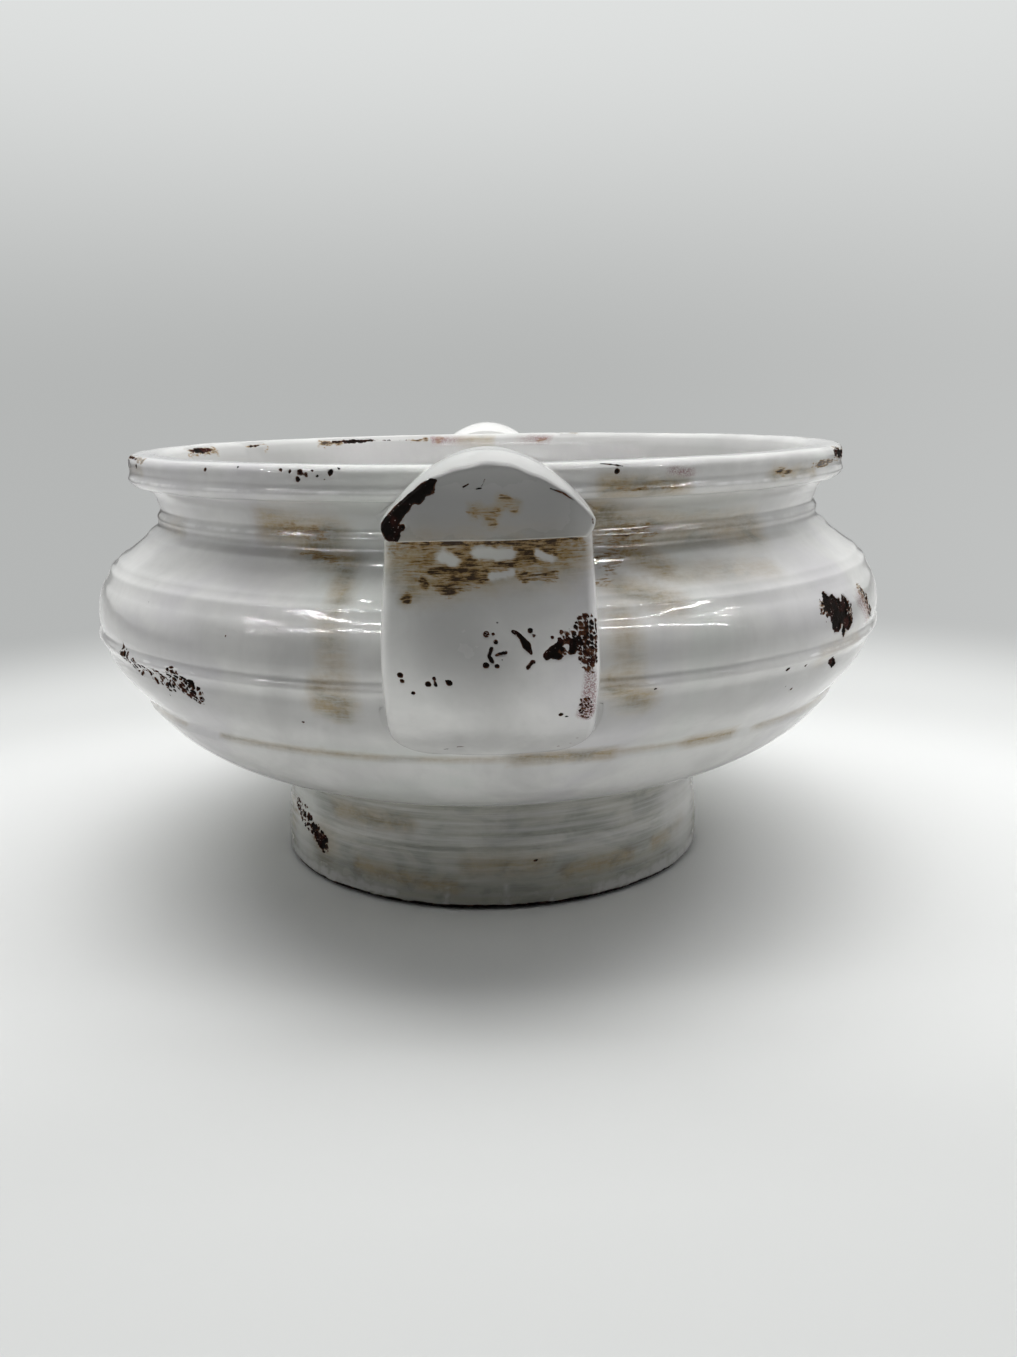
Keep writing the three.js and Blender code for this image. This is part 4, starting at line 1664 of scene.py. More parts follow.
@dataclass
class WearAndShadePlan:
    """Places every chip, stain and patch of painted shade on the bowl, its foot and its handles.

    Attributes:
        bowl: The bowl, whose spots are degrees round from the front handle and a height.
        foot: The foot, with spots of the same kind.
        front: The front handle, whose spots are a sideways place and a height.
        rear: The rear handle.
        wear_and_shade: The map that takes the marks.
        sector: Degrees between the marks that run right round the bowl.
    """

    bowl: ThrownBowl
    foot: ThrownFoot
    front: StrapHandle
    rear: StrapHandle
    wear_and_shade: WearAndShadeMap
    sector: int = 10

    def lay(self) -> None:
        """Puts all the marks on the map, in an order that fixes each one's noise."""
        self.lug_end()
        self.under_lug()
        self.strap_pores()
        self.rim()
        self.inner_lip()
        self.neck_and_shoulder()
        self.belly()
        self.base()
        self.base_edge()
        self.rear_handle()
        self.far_side()
        self.painted_shade()
        self.lug_wash()

    def lug_end(self) -> None:
        """The front lug's end: a long chip on its left edge, scratches and tan spots."""
        face = Brush(self.wear_and_shade, self.front.face_spot)
        face.bend(
            CHIP, (-15, 160.4, 1.8), (-18.3, 158.4, 2.3), (-21.6, 156.2, 1.8), (-24.4, 152.8, 2.3),
            (-26, 149.2, 3), (-25.4, 146.2, 2), ragged=0.9)
        face.dots(
            CHIP, (-14, 161.4, 1), (-15.4, 158.4, 1.1), (-17.6, 156.6, 0.9), (-22.8, 149.4, 1), ragged=0.7)
        face.bend(
            CHIP, (-17, 161.6, 1.2), (-23, 158.4, 1.5), (-27.4, 153.4, 1.5), (-29.2, 148.8, 1.2),
            ragged=0.3)
        face.strokes(CHIP, (28.4, 148.6, 27.9, 150.8, 1, 0.8), ragged=0.4)
        face.dots(CHIP, (27, 152.6, 0.4), ragged=0.15)
        face.strokes(CHIP, (-6.3, 159.8, -5, 160.5, 0.22), (-2.9, 159.2, -1.7, 159.4, 0.18), ragged=0.15)
        face.strokes(CHIP, (-1.5, 160, -0.7, 161.6, 0.15), ragged=0.1)
        face.bend(CHIP, (16.4, 159, 0.2), (19.8, 157.8, 0.3), (22.6, 155.8, 0.2), ragged=0.15)
        for a, z, b, w, size in (
                (-3.6, 153.4, 1.6, 152.8, 1.5), (0.4, 152.4, 1, 150, 1.4), (4.4, 156.4, 6.8, 154.6, 1.5),
                (1.8, 153.6, 5, 155, 0.8)):
            face.strokes(UMBER, (a, z, b, w, size), ragged=0.9, strength=0.42)
            face.strokes(TAN, (a, z, b, w, size + 0.4), ragged=1, strength=0.8)
        self.wear_and_shade.add(CHIP, (-13.4, -160, 165.2), 0.25, (-8.8, -163, 166.6), ragged=0.2)

    def under_lug(self) -> None:
        """The stained band on the strap below the front lug, with brushed umber and clean islands."""
        strap = Brush(self.wear_and_shade, self.front.strap_spot)
        strap.strokes(TAN, (-20, 140, 20, 141, 9, 7), (-16, 135, 2, 138, 6), ragged=1.4)
        strap.strokes(UMBER, (-21, 142.6, 21, 143, 3.4, 3), ragged=1.2, strength=0.4)
        strap.strokes(TAN, (-22, 139.5, -20, 132, 4.5, 4), ragged=1.2, strength=0.95)
        strap.strokes(UMBER, (-13, 139.6, 14, 141.6, 5.6, 5), ragged=1.6, strength=0.55)
        strap.strokes(UMBER, (-22.4, 141, -21, 138, 2.6, 2.2), ragged=1, strength=0.36)
        strap.strokes(UMBER, (-12, 133, -2, 136, 3), ragged=1.2, strength=0.55)
        strap.strokes(UMBER, (-23, 145.2, 23, 145.2, 1), ragged=0.5, strength=0.85)
        strap.strokes(
            UMBER, (-17, 144.4, 9, 145, 1.8), (8, 144.4, 21, 144, 1.7),
            (-9.5, 141.2, -3.6, 139.8, 2.3), (-12.5, 137.2, -3, 137.8, 1.8), (-3, 137.8, 7, 139.2, 1.5),
            (-11, 131.8, -6, 134.6, 1.8), (-6, 134.6, 0.5, 135.8, 2), (9.8, 135, 17.2, 135.2, 1.6),
            (7.4, 141.6, 12.6, 140.6, 2.5), (-15.4, 137.2, -13, 136.6, 1.6),
            (-18.2, 134.6, -17.2, 133.4, 1.3), (14, 143.4, 17, 141.8, 1.7), ragged=0.8, strength=0.8)
        strap.dots(UMBER, (-22.6, 129.6, 1.6), ragged=0.5, strength=0.7)
        strap.strokes(TAN, (-22.6, 129.8, -20, 133, 2.4, 1.6))
        strap.strokes(
            CLEAN, (-2.6, 141.6, 5.4, 141.2, 2.1), (-12.6, 141, -9.6, 139.4, 1.8),
            (13.4, 141.4, 17, 139.8, 1.3), (1, 135.4, 6, 136.2, 1.1), ragged=0.6)

    def strap_pores(self) -> None:
        """Pores and small chips down the front strap."""
        strap = Brush(self.wear_and_shade, self.front.strap_spot)
        strap.dots(
            CHIP, (-1.1, 119.4, 0.975), (0.8, 119.4, 0.546), (1.5, 117.2, 0.715), (1.7, 110.3, 0.78),
            (-1.3, 110.6, 0.975), (10.9, 120.3, 0.78), (12, 118.8, 0.546), (-25.1, 108, 0.936),
            (-24.6, 106.2, 0.65), (-21.8, 102.4, 0.65), (-17.5, 105.2, 0.936), (-15.8, 107, 0.585),
            (-11.6, 105.5, 0.975), (19.7, 94.2, 0.806), (21.3, 93.3, 0.546), (25.4, 95.2, 0.78),
            (2, 122.6, 0.286), (17, 118.2, 0.52), (3.2, 112, 0.325), ragged=0.16)
        strap.strokes(
            CHIP, (0.3, 115.6, -0.4, 113.2, 0.504), (-0.4, 113.2, 0.6, 111.6, 0.504),
            (1.4, 113.5, 4.4, 114.2, 0.48), (6.2, 120.2, 8.2, 118.9, 0.6), (11.6, 111.4, 10.2, 109.7, 0.66),
            (-15.6, 106, -15.2, 104.7, 0.48), (19.4, 116.6, 15.6, 113, 1.14),
            (15.6, 113, 18.4, 112.6, 0.96), (19.4, 112.8, 17.6, 114, 0.84),
            (22.8, 116.6, 22.4, 114.2, 1.14), (-12.4, 106.2, -11.6, 105.5, 0.42), ragged=0.4)
        strap.bend(CHIP, (8.2, 118.9, 0.6), (9.8, 116.2, 1.25), (11.2, 113.7, 0.35), ragged=0.2)
        strap.porous(
            (26.8, 121, 27.2, 112, 4.6, 4, 1.5, 1), (24.6, 120.2, 19.8, 118.4, 3.2, 2.6, 1.6, 0.66),
            (23.6, 117, 18, 114, 2.8, 2.4, 1.7, 0.62), (26.4, 113, 27.4, 108.4, 2.8, 2.2, 1.1, 0.8))
        strap.strokes(ROSE, (27.6, 107, 27.4, 94, 1.8, 3.2), strength=0.9)
        strap.porous((26.6, 99, 27.2, 93.6, 2.6, 2.6, 1, 0.6))
        for x, z, length in (
                (-22.6, 81.2, 1.2), (-14.6, 79.6, 1.4), (-10.4, 80.6, 1.6), (18.8, 79.6, 1.4),
                (22.4, 80.8, 1.2), (24.6, 83.4, 0.8)):
            strap.strokes(CHIP, (x, z, x + length, z + 0.12, 0.32), ragged=0.2)
        strap.strokes(CHIP, (28.6, 91, 27.6, 88.2, 0.2), ragged=0.12)

    def rim(self) -> None:
        """Chips, cracks and stains along the rim's outer band."""
        side = Brush(self.wear_and_shade, self.bowl.spot)
        side.dots(CHIP, (-40.4, 161.2, 0.75), (-34.2, 162.2, 0.5), ragged=0.2)
        side.dots(
            CHIP, (-27, 161.7, 0.6), (-25.7, 161.3, 0.5), (-24.1, 161.2, 1), (-23.2, 160.5, 0.8),
            (-24.4, 158.9, 0.75), (-22.4, 161.7, 0.45), (-21.6, 160.2, 0.5), (-19.7, 161.3, 1.05),
            (-18.8, 162.3, 0.5), (-20.6, 159, 0.3), (60.4, 161.8, 0.5), (77.6, 158.8, 0.8), ragged=0.6)
        side.bend(CHIP, (-75, 162.4, 0.5), (-70, 162.6, 0.7), (-64, 162.5, 0.3), ragged=0.5)
        side.dots(CHIP, (-63, 160.2, 0.8), ragged=0.7)
        side.strokes(UMBER, (-75, 162.2, -60, 162.2, 1.2, 0.9), ragged=0.6, strength=0.7)
        side.strokes(TAN, (-76, 159, -60, 159, 2.4, 2), strength=0.45)
        side.dots(CHIP, (16.2, 160.4, 0.95), ragged=0.3)
        side.strokes(CHIP, (14.2, 162.8, 17, 161.8, 0.3, 0.2), ragged=0.2)
        side.strokes(ROSE, (23.6, 160.2, 27, 158.8, 1.2, 1.4), strength=0.8)
        side.strokes(TAN, (15, 156, 25.5, 155, 3.6, 3))
        side.strokes(UMBER, (16.4, 155.2, 24.6, 154.8, 0.9, 0.7), strength=0.8)
        side.strokes(TAN, (42, 157.2, 53, 156, 2.6, 1.4), ragged=1.2, strength=0.75)
        side.strokes(UMBER, (42.6, 157.4, 45.6, 157, 0.9, 0.7))
        side.bend(CHIP, (62.6, 160.4, 0.8), (66, 161.2, 1.9), (70, 159.8, 1.5), (75, 161, 2.1), ragged=1.4)
        side.strokes(UMBER, (63, 160.4, 76, 160.4, 2.6, 3), ragged=1.4, strength=0.45)
        side.strokes(UMBER, (53, 158, 61, 158.6, 1.1, 1), ragged=0.6, strength=0.75)

    def inner_lip(self) -> None:
        """Chips and stains along the rim's inner edge."""
        lip = Brush(self.wear_and_shade, self.bowl.lip_spot)
        lip.bend(CHIP, (-143, 162, 0.7), (-149, 161.8, 1.5), (-155, 162.2, 1), (-166, 162, 0.6), ragged=0.8)
        lip.strokes(UMBER, (-141, 161.6, -166, 161.6, 1.5, 1.3), ragged=0.6)
        lip.strokes(UMBER, (-168, 161.8, 166, 161.8, 1.1, 0.9), ragged=0.6, strength=0.6)
        lip.strokes(ROSE, (-168, 161.6, 166, 161.6, 2, 1.8))
        self.wear_and_shade.add(TAN, (-14, 125.6, 159.6), 2.2, (2, 125.6, 159), 2.4)
        lip.bend(CHIP, (-108, 161.6, 1), (-104.6, 161.8, 1.9), (-101, 161.6, 1.2), ragged=0.8)
        lip.strokes(UMBER, (-110, 161, -99, 161, 2.2, 1.8), ragged=0.8, strength=0.5)
        lip.strokes(CHIP, (-124.4, 162, -121.6, 161.8, 0.6, 1), ragged=0.6)
        lip.strokes(UMBER, (-126, 161.6, -120.6, 161.6, 1.3, 1.1), ragged=0.5, strength=0.5)

    def neck_and_shoulder(self) -> None:
        """Tan and olive washes in the neck and on the shoulder."""
        side = Brush(self.wear_and_shade, self.bowl.spot)
        side.washes(
            TAN, (-33, 144, -22, 141, 5.4, 0.95), (-26, 137, -19, 133, 4.8, 1),
            (-19, 131, -18, 124, 3.6, 0.85), (14, 147, 21, 139, 7, 1), (19, 136, 23, 130, 5.5, 0.95),
            (22, 142, 42, 138, 6.5, 0.75), (16, 126, 22, 121, 5, 0.75), (24, 128, 40, 127, 5, 0.45),
            (-17.9, 120.8, -17.2, 98, 1.6, 0.8), (-19.4, 117, -18.8, 104, 1, 0.6),
            (-18.6, 118, -17, 98, 5, 0.6), (15, 118, 16, 94, 5, 0.72), (13.6, 99, 17.6, 93, 4.4, 0.9),
            (-19.6, 99, -16.8, 94, 3.6, 0.9))
        side.strokes(UMBER, (-26, 136, -21, 134, 2.2), ragged=1.6, strength=0.34)
        side.strokes(
            UMBER, (15, 139, 22.6, 141, 2.8), (14.8, 133.6, 20.4, 137.2, 3),
            (14.2, 128, 16.4, 133, 2.6), (-31, 142.6, -23, 141, 2.2), ragged=1.6, strength=0.42)
        side.dots(UMBER, (-18.4, 121.2, 0.7), strength=0.8)

    def belly(self) -> None:
        """Porous patches, chips and dots on the belt and the lower wall."""
        side = Brush(self.wear_and_shade, self.bowl.spot)
        side.porous(
            (-55, 99, -51, 94, 4.2, 2.7, 0.92), (-49.4, 95.4, -48, 91.4, 2.6, 2.8, 0.66),
            (-46.8, 95, -44.6, 91, 3.4, 2.5, 0.90), (-42.6, 95.4, -39.4, 90.4, 5, 2.3, 1.15), ragged=1)
        side.dots(
            CHIP, (-40.4, 95.6, 1.3), (-39.4, 93.8, 1.7), (-41.6, 91.4, 1.6), (-40.2, 89.6, 1.1),
            (-45, 91.8, 0.9), ragged=1.1)
        side.bend(CHIP, (47.4, 114.8, 3), (49.4, 111.6, 4.6), (49, 106.4, 3), ragged=2.1)
        side.bend(CHIP, (52.6, 112.6, 2.6), (51, 109.6, 3.8), (52.4, 105.6, 2.3), ragged=2)
        side.porous((46.8, 112.4, 53, 109, 5.4, 6, 1.6, 0.72))
        side.strokes(CHIP, (51, 104, 51.6, 101.6, 1.3, 0.8), ragged=0.6)
        side.strokes(UMBER, (46.4, 113, 53.4, 108.6, 2.6, 2.8), ragged=1.4, strength=0.42)
        side.strokes(UMBER, (49.4, 112, 51.6, 102.6, 2.4, 1.6), ragged=1.2, strength=0.42)
        side.strokes(UMBER, (58.6, 115, 62, 104.6, 2.6, 2.8), ragged=1.2, strength=0.55)
        side.strokes(ROSE, (57.6, 112, 61, 105, 3.4), ragged=1, strength=0.8)
        side.porous((60, 113.6, 63, 105, 2.6, 2.8, 1.9, 0.72), ragged=1.2)
        side.strokes(CHIP, (49.6, 93.6, 50.8, 91.6, 1.7, 1.3), ragged=0.8)
        side.dots(
            CHIP, (37, 97.2, 0.5), (38.8, 95.6, 0.9), (41.4, 97.4, 0.35), (42.6, 95.2, 0.7),
            (44, 97, 0.4), (39.8, 89, 0.4), (41.6, 87.2, 0.65), (42.6, 90, 0.3), (-32.4, 111.8, 0.42),
            (-25.1, 115.5, 0.36), (-23.1, 85.8, 0.5), (18.8, 96.6, 0.6), (-46, 87, 0.5), (30.6, 112, 0.3),
            (-49, 118, 0.3), (26, 83, 0.35), ragged=0.14)
        side.strokes(TAN, (-20, 93, -17.4, 90.4, 3.6, 4))
        side.strokes(TAN, (46, 97, 56, 99, 4, 3), strength=0.45)
        steps = 6
        for a, b, size, strength in (
                (-41, -14, 1.4, 0.75), (-14, 3, 1.2, 0.6), (3, 16, 2.2, 1), (16, 27, 1.2, 0.5),
                (27, 35, 2, 0.95)):
            line = [(a + (b - a) * k / steps, self.bowl.crease_z + 0.3, size) for k in range(steps + 1)]
            side.bend(TAN, *line, strength=strength)

    def base(self) -> None:
        """The foot's porous patch and its tan washes."""
        foot = Brush(self.wear_and_shade, self.foot.spot)
        foot.porous((-67, 25, -58, 21, 5, 2.7, 0.8), (-54, 18.4, -50, 15, 4.4, 2.4, 1.05), ragged=1.4)
        foot.dots(
            CHIP, (-53.4, 17.2, 2), (-51, 15, 2.4), (-49.4, 17.6, 1.5), (-55.6, 20.4, 1.5),
            (-58.6, 22.4, 1.2), ragged=1.1)
        foot.strokes(UMBER, (-68, 24, -51, 16, 4), ragged=1.6, strength=0.3)
        for a, z, b, w, size, strength in (
                (-44, 32, -22, 31, 3.6, 0.7), (-36, 12, -10, 9, 3, 0.8), (18, 13, 36, 14, 3.2, 0.75),
                (46, 15, 60, 18, 2.6, 0.7), (-6, 17, 12, 17, 4, 0.6), (110, 16, 150, 12, 3.4, 0.7),
                (-160, 28, -120, 30, 3.4, 0.7), (170, 9, 196, 12, 3, 0.7)):
            line = ((a, z, size), ((a + b) / 2, (z + w) / 2, size), (b, w, size))
            foot.bend(TAN, *line, ragged=1.2, strength=strength)

    def base_edge(self) -> None:
        """The drips on the foot, its bare lower edge, painted shade over its lower part and at the middle of
        each third, and lighter sides where the wash is cleared.
        """
        foot = Brush(self.wear_and_shade, self.foot.spot)
        for angle, low, high, size in (
                (-12, 2.8, 7.6, 1.6), (2.6, 3, 9, 1.8), (14, 3, 4.4, 1.4), (104, 3, 8, 2),
                (163, 3, 6, 1.6), (-131, 3, 8.6, 1.8)):
            drip = (angle, low, angle + 0.5, high, size, 0.5 * size)
            foot.strokes(CLEAN, drip, ragged=1, strength=0.8)
        for start in (-76, -66, -56, -46, -36, 26, 36, 46, 56, 66, 100, 110, 150, 190, 220, 230):
            band = (start, 4.2, start + self.sector, 4, 2.2)
            foot.strokes(CLEAN, band, ragged=1.4, strength=0.75)
        foot.strokes(TAN, (-70, 22, -50, 16, 8, 7), strength=0.7)
        for angle, z, length in ((-7, 3.6, 3), (4, 3, 5), (-0.4, 11.2, 1.6), (9.6, 18.2, 1.4)):
            turn = math.degrees(length / self.foot.radius)
            foot.strokes(CHIP, (angle, z, angle + turn, z + 0.2, 0.35), ragged=0.3)
        edge = Brush(self.wear_and_shade, self.foot.edge_spot)
        # The bare lower edge all round, and painted shade over the foot's lower part.
        for a in range(0, 360, self.sector):
            b = a + self.sector
            edge.strokes(CHIP, (a, -3.4, b, -3.4, 6), ragged=0.35)
            foot.strokes(SHADE, (a, 3, b, 3, 15), ragged=1.5, strength=0.95)
        # Painted shade at the middle of each third of the foot. Its sides are cleared of the wash so that
        # they read lighter, as painted light.
        for middle in (0, 120, 236):
            foot.strokes(
                SHADE, (middle - 24, 20, middle, 20, 13, 15), (middle, 20, middle + 22, 20, 15, 12),
                ragged=1.5, strength=0.3)
            left = (middle - 64, 28, middle - 60, 12, 12, 10)
            foot.strokes(CLEAN, left, ragged=1.5, strength=0.6)
            right = (middle + 64, 28, middle + 62, 12, 12, 10)
            foot.strokes(CLEAN, right, ragged=1.5, strength=0.7)

    def rear_handle(self) -> None:
        """Chips, pores and stains of the same kind on the rear handle."""
        face, strap = Brush(self.wear_and_shade, self.rear.face_spot), Brush(self.wear_and_shade, self.rear.strap_spot)
        face.bend(CHIP, (17, 160.6, 1.6), (21, 157.4, 2.2), (24.4, 153.4, 1.2), ragged=0.5)
        face.strokes(TAN, (-6, 153, 2, 150.6, 3, 2.6))
        strap.strokes(TAN, (-18, 141, 19, 140, 8), strength=0.7)
        strap.strokes(
            UMBER, (-17, 143.4, 15, 143.8, 3.4), (-12, 138.6, 6, 138, 3), ragged=1.8, strength=0.44)
        for x, z, size in ((-9, 140.6, 2.2), (3, 141, 2), (11, 138.6, 1.8)):
            strap.strokes(CLEAN, (x, z, x + 4, z + 0.4, size, 0.8 * size), ragged=0.9)
        strap.porous((-26, 116, -25, 111, 3.8, 3.4, 2.2, 1.15), ragged=1.4)
        strap.dots(CHIP, (-25.8, 114.6, 2.2), (-24.2, 111.4, 1.6), (-26.6, 117.6, 1.2), ragged=1.3)
        strap.porous((-6, 113, 4, 108, 3, 2.2, 2, 0.44))

    def far_side(self) -> None:
        """Chips, pores and stains of the same kind on the bowl's far side."""
        side, crest = Brush(self.wear_and_shade, self.bowl.spot), Brush(self.wear_and_shade, self.bowl.crest_spot)
        side.porous(
            (99, 96.4, 101, 92.4, 4, 2.5, 0.82), (103.4, 93, 104.4, 90, 2.6, 2.6, 0.66),
            (143, 112, 145, 107.6, 4.4, 2.3, 0.95), (-110, 108, -108.4, 103, 4.2, 2.6, 0.8),
            (-146.4, 96, -144.6, 91, 4.6, 2.6, 0.85), (-141.4, 94, -140.6, 91.6, 2.4, 2.5, 0.66),
            (-83, 118, -82, 115.6, 2.6, 2.2, 0.66), ragged=1)
        side.dots(
            CHIP, (100.6, 93.6, 1.4), (144.6, 109.6, 1.9), (146, 107.4, 1.1), (-109.6, 105, 1.5),
            (-145, 93, 1.6), ragged=1.1)
        side.washes(
            TAN, (150, 145, 165, 138, 5, 0.85), (-168, 140, -152, 134, 5, 0.85),
            (90, 142, 120, 139, 4, 0.5), (-120, 141, -92, 138, 4, 0.5), (160, 116, 163, 98, 3, 0.5),
            (-75, 140, -55, 139, 3.6, 0.5))
        side.strokes(
            UMBER, (160, 140, 166, 136, 2.6), (-166, 138, -160, 134, 2.6), (158, 131, 164, 134, 2.2),
            (96, 156, 108, 155, 1.4), (-98, 157, -88, 156, 1.2), (-130, 121, -126, 119, 1.6), ragged=1.5,
            strength=0.36)
        side.dots(
            CHIP, (118, 115, 0.5), (125, 104, 0.7), (-126, 112, 0.6), (-96, 99, 0.5), (86, 108, 0.6),
            (152, 90, 0.5), (-158, 116, 0.6), (112, 160, 0.8), (-140, 160.6, 0.9), (-100, 161, 0.6),
            ragged=0.5)
        crease = self.bowl.crease_z
        for a in range(40, 310, self.sector):
            side.strokes(TAN, (a, crease, a + self.sector, crease, 1.4), strength=0.6)
        for angle, away, turn, size in (
                (92, 136.2, 3.4, 1.3), (121, 131, 1.2, 0.8), (133, 135.6, 5.4, 1), (161, 130.2, 2.2, 1.4)):
            chip = (angle, away, angle + turn, away + 0.8, size, 0.5 * size)
            crest.strokes(CHIP, chip, ragged=0.9)
            stain = (angle - 1, away, angle + turn + 1.2, away, size + 0.7, size)
            crest.strokes(UMBER, stain, ragged=0.6, strength=0.45)

    def painted_shade(self) -> None:
        """Painted shade: greys the glaze on the lugs' end faces, the upper straps, in rings round the bowl
        and on its left shoulder and belt.
        """
        for handle in (self.front, self.rear):
            face, strap = Brush(self.wear_and_shade, handle.face_spot), Brush(self.wear_and_shade, handle.strap_spot)
            # Painted shade on the lug's end face and on the strap below it.
            face.strokes(SHADE, (-15, 154, 15, 154, 17), ragged=0.8)
            strap.washes(SHADE, (0, 138, 0, 128, 20, 0.62), ragged=1.5)
            low = (-8, 118, -2, 112, 16, 13)
            strap.strokes(SHADE, low, ragged=1.5, strength=0.9)
        side = Brush(self.wear_and_shade, self.bowl.spot)
        # Rings of painted shade round the lower wall, the belt, the rim's band and the neck.
        rings = ((89, 7, 0.6), (106, 5, 0.4), (157.4, 2.6, 0.35), (148, 4.6, 0.4), (136, 3.6, 0.25))
        for a in range(0, 360, self.sector):
            rows = [(a, z, a + self.sector, z, size, strength) for z, size, strength in rings]
            side.washes(SHADE, *rows, ragged=1.2)
        side.strokes(SHADE, (-56, 128, -30, 127, 7, 6), ragged=1.5, strength=0.35)
        side.strokes(SHADE, (-36, 112, -16, 112, 8), ragged=1.5, strength=0.4)

    def lug_wash(self) -> None:
        """A thin brown wash over the stained band below the front lug."""
        strap = Brush(self.wear_and_shade, self.front.strap_spot)
        strap.strokes(
            UMBER, (-22, 141, 22, 142, 6.5, 5), (-16, 135.4, 0, 137, 4, 4.4), ragged=1.6, strength=0.34)


# The studio

def stand(thing: bpy.types.Object, place: Triple, across: Row, above: Row, back: Row) -> None:
    """Puts a lamp or a camera in its place, turned as it should be.

    Args:
        thing: The lamp or camera.
        place: Where it stands.
        across: The direction to its right.
        above: The direction up from it.
        back: The direction behind it.
    """
    turn = Matrix([list(map(float, row)) for row in rows_of(across, above, back)]).to_4x4()
    thing.matrix_world = Matrix.Translation(place) @ turn


@dataclass(frozen=True)
class Panel:
    """A flat lamp.

    Attributes:
        name: Its name.
        place: Where it hangs, in metres.
        aim: The point that it faces.
        size: Its width and height.
        power: Its power in watts.
        use: What it is for.
        beads: How many beads a strip's light is broken into.
    """

    name: str
    place: Triple
    aim: Triple
    size: Pair
    power: float
    use: Lamp = Lamp.SOFT
    beads: float = 90.0

    def hang(self) -> None:
        """Hangs the lamp, out of the camera's sight."""
        data = bpy.data.lights.new(self.name, "AREA")
        data.shape = "RECTANGLE"
        data.size, data.size_y = self.size
        data.energy = self.power
        back = np.array(self.place) - np.array(self.aim)
        back = back / np.linalg.norm(back)
        across = np.cross((0.0, 1.0, 0.0) if abs(back[2]) > 0.9 else (0.0, 0.0, 1.0), back)
        across = across / np.linalg.norm(across)
        thing = show(self.name, data)
        stand(thing, self.place, across, np.cross(back, across), back)
        thing.visible_camera = False
        thing.visible_glossy = self.use is Lamp.SPARKLE
        thing.visible_diffuse = self.use is Lamp.SOFT
        if self.use is Lamp.SPARKLE:
            self.break_up(data)

    def break_up(self, data: bpy.types.Light) -> None:
        """Breaks a strip's light into a row of beads.

        Args:
            data: The strip's light.
        """
        data.use_nodes = True
        sheet = NodeSheet(data.node_tree)
        along = sheet.parts(sheet.add("ShaderNodeNewGeometry").outputs["Parametric"])[0]
        beat = sheet.math("FRACT", sheet.times(along, self.beads))
        glow = sheet.times(sheet.math("GREATER_THAN", beat, 0.5), 2.0)
        data.node_tree.links.new(glow, data.node_tree.nodes["Emission"].inputs["Strength"])


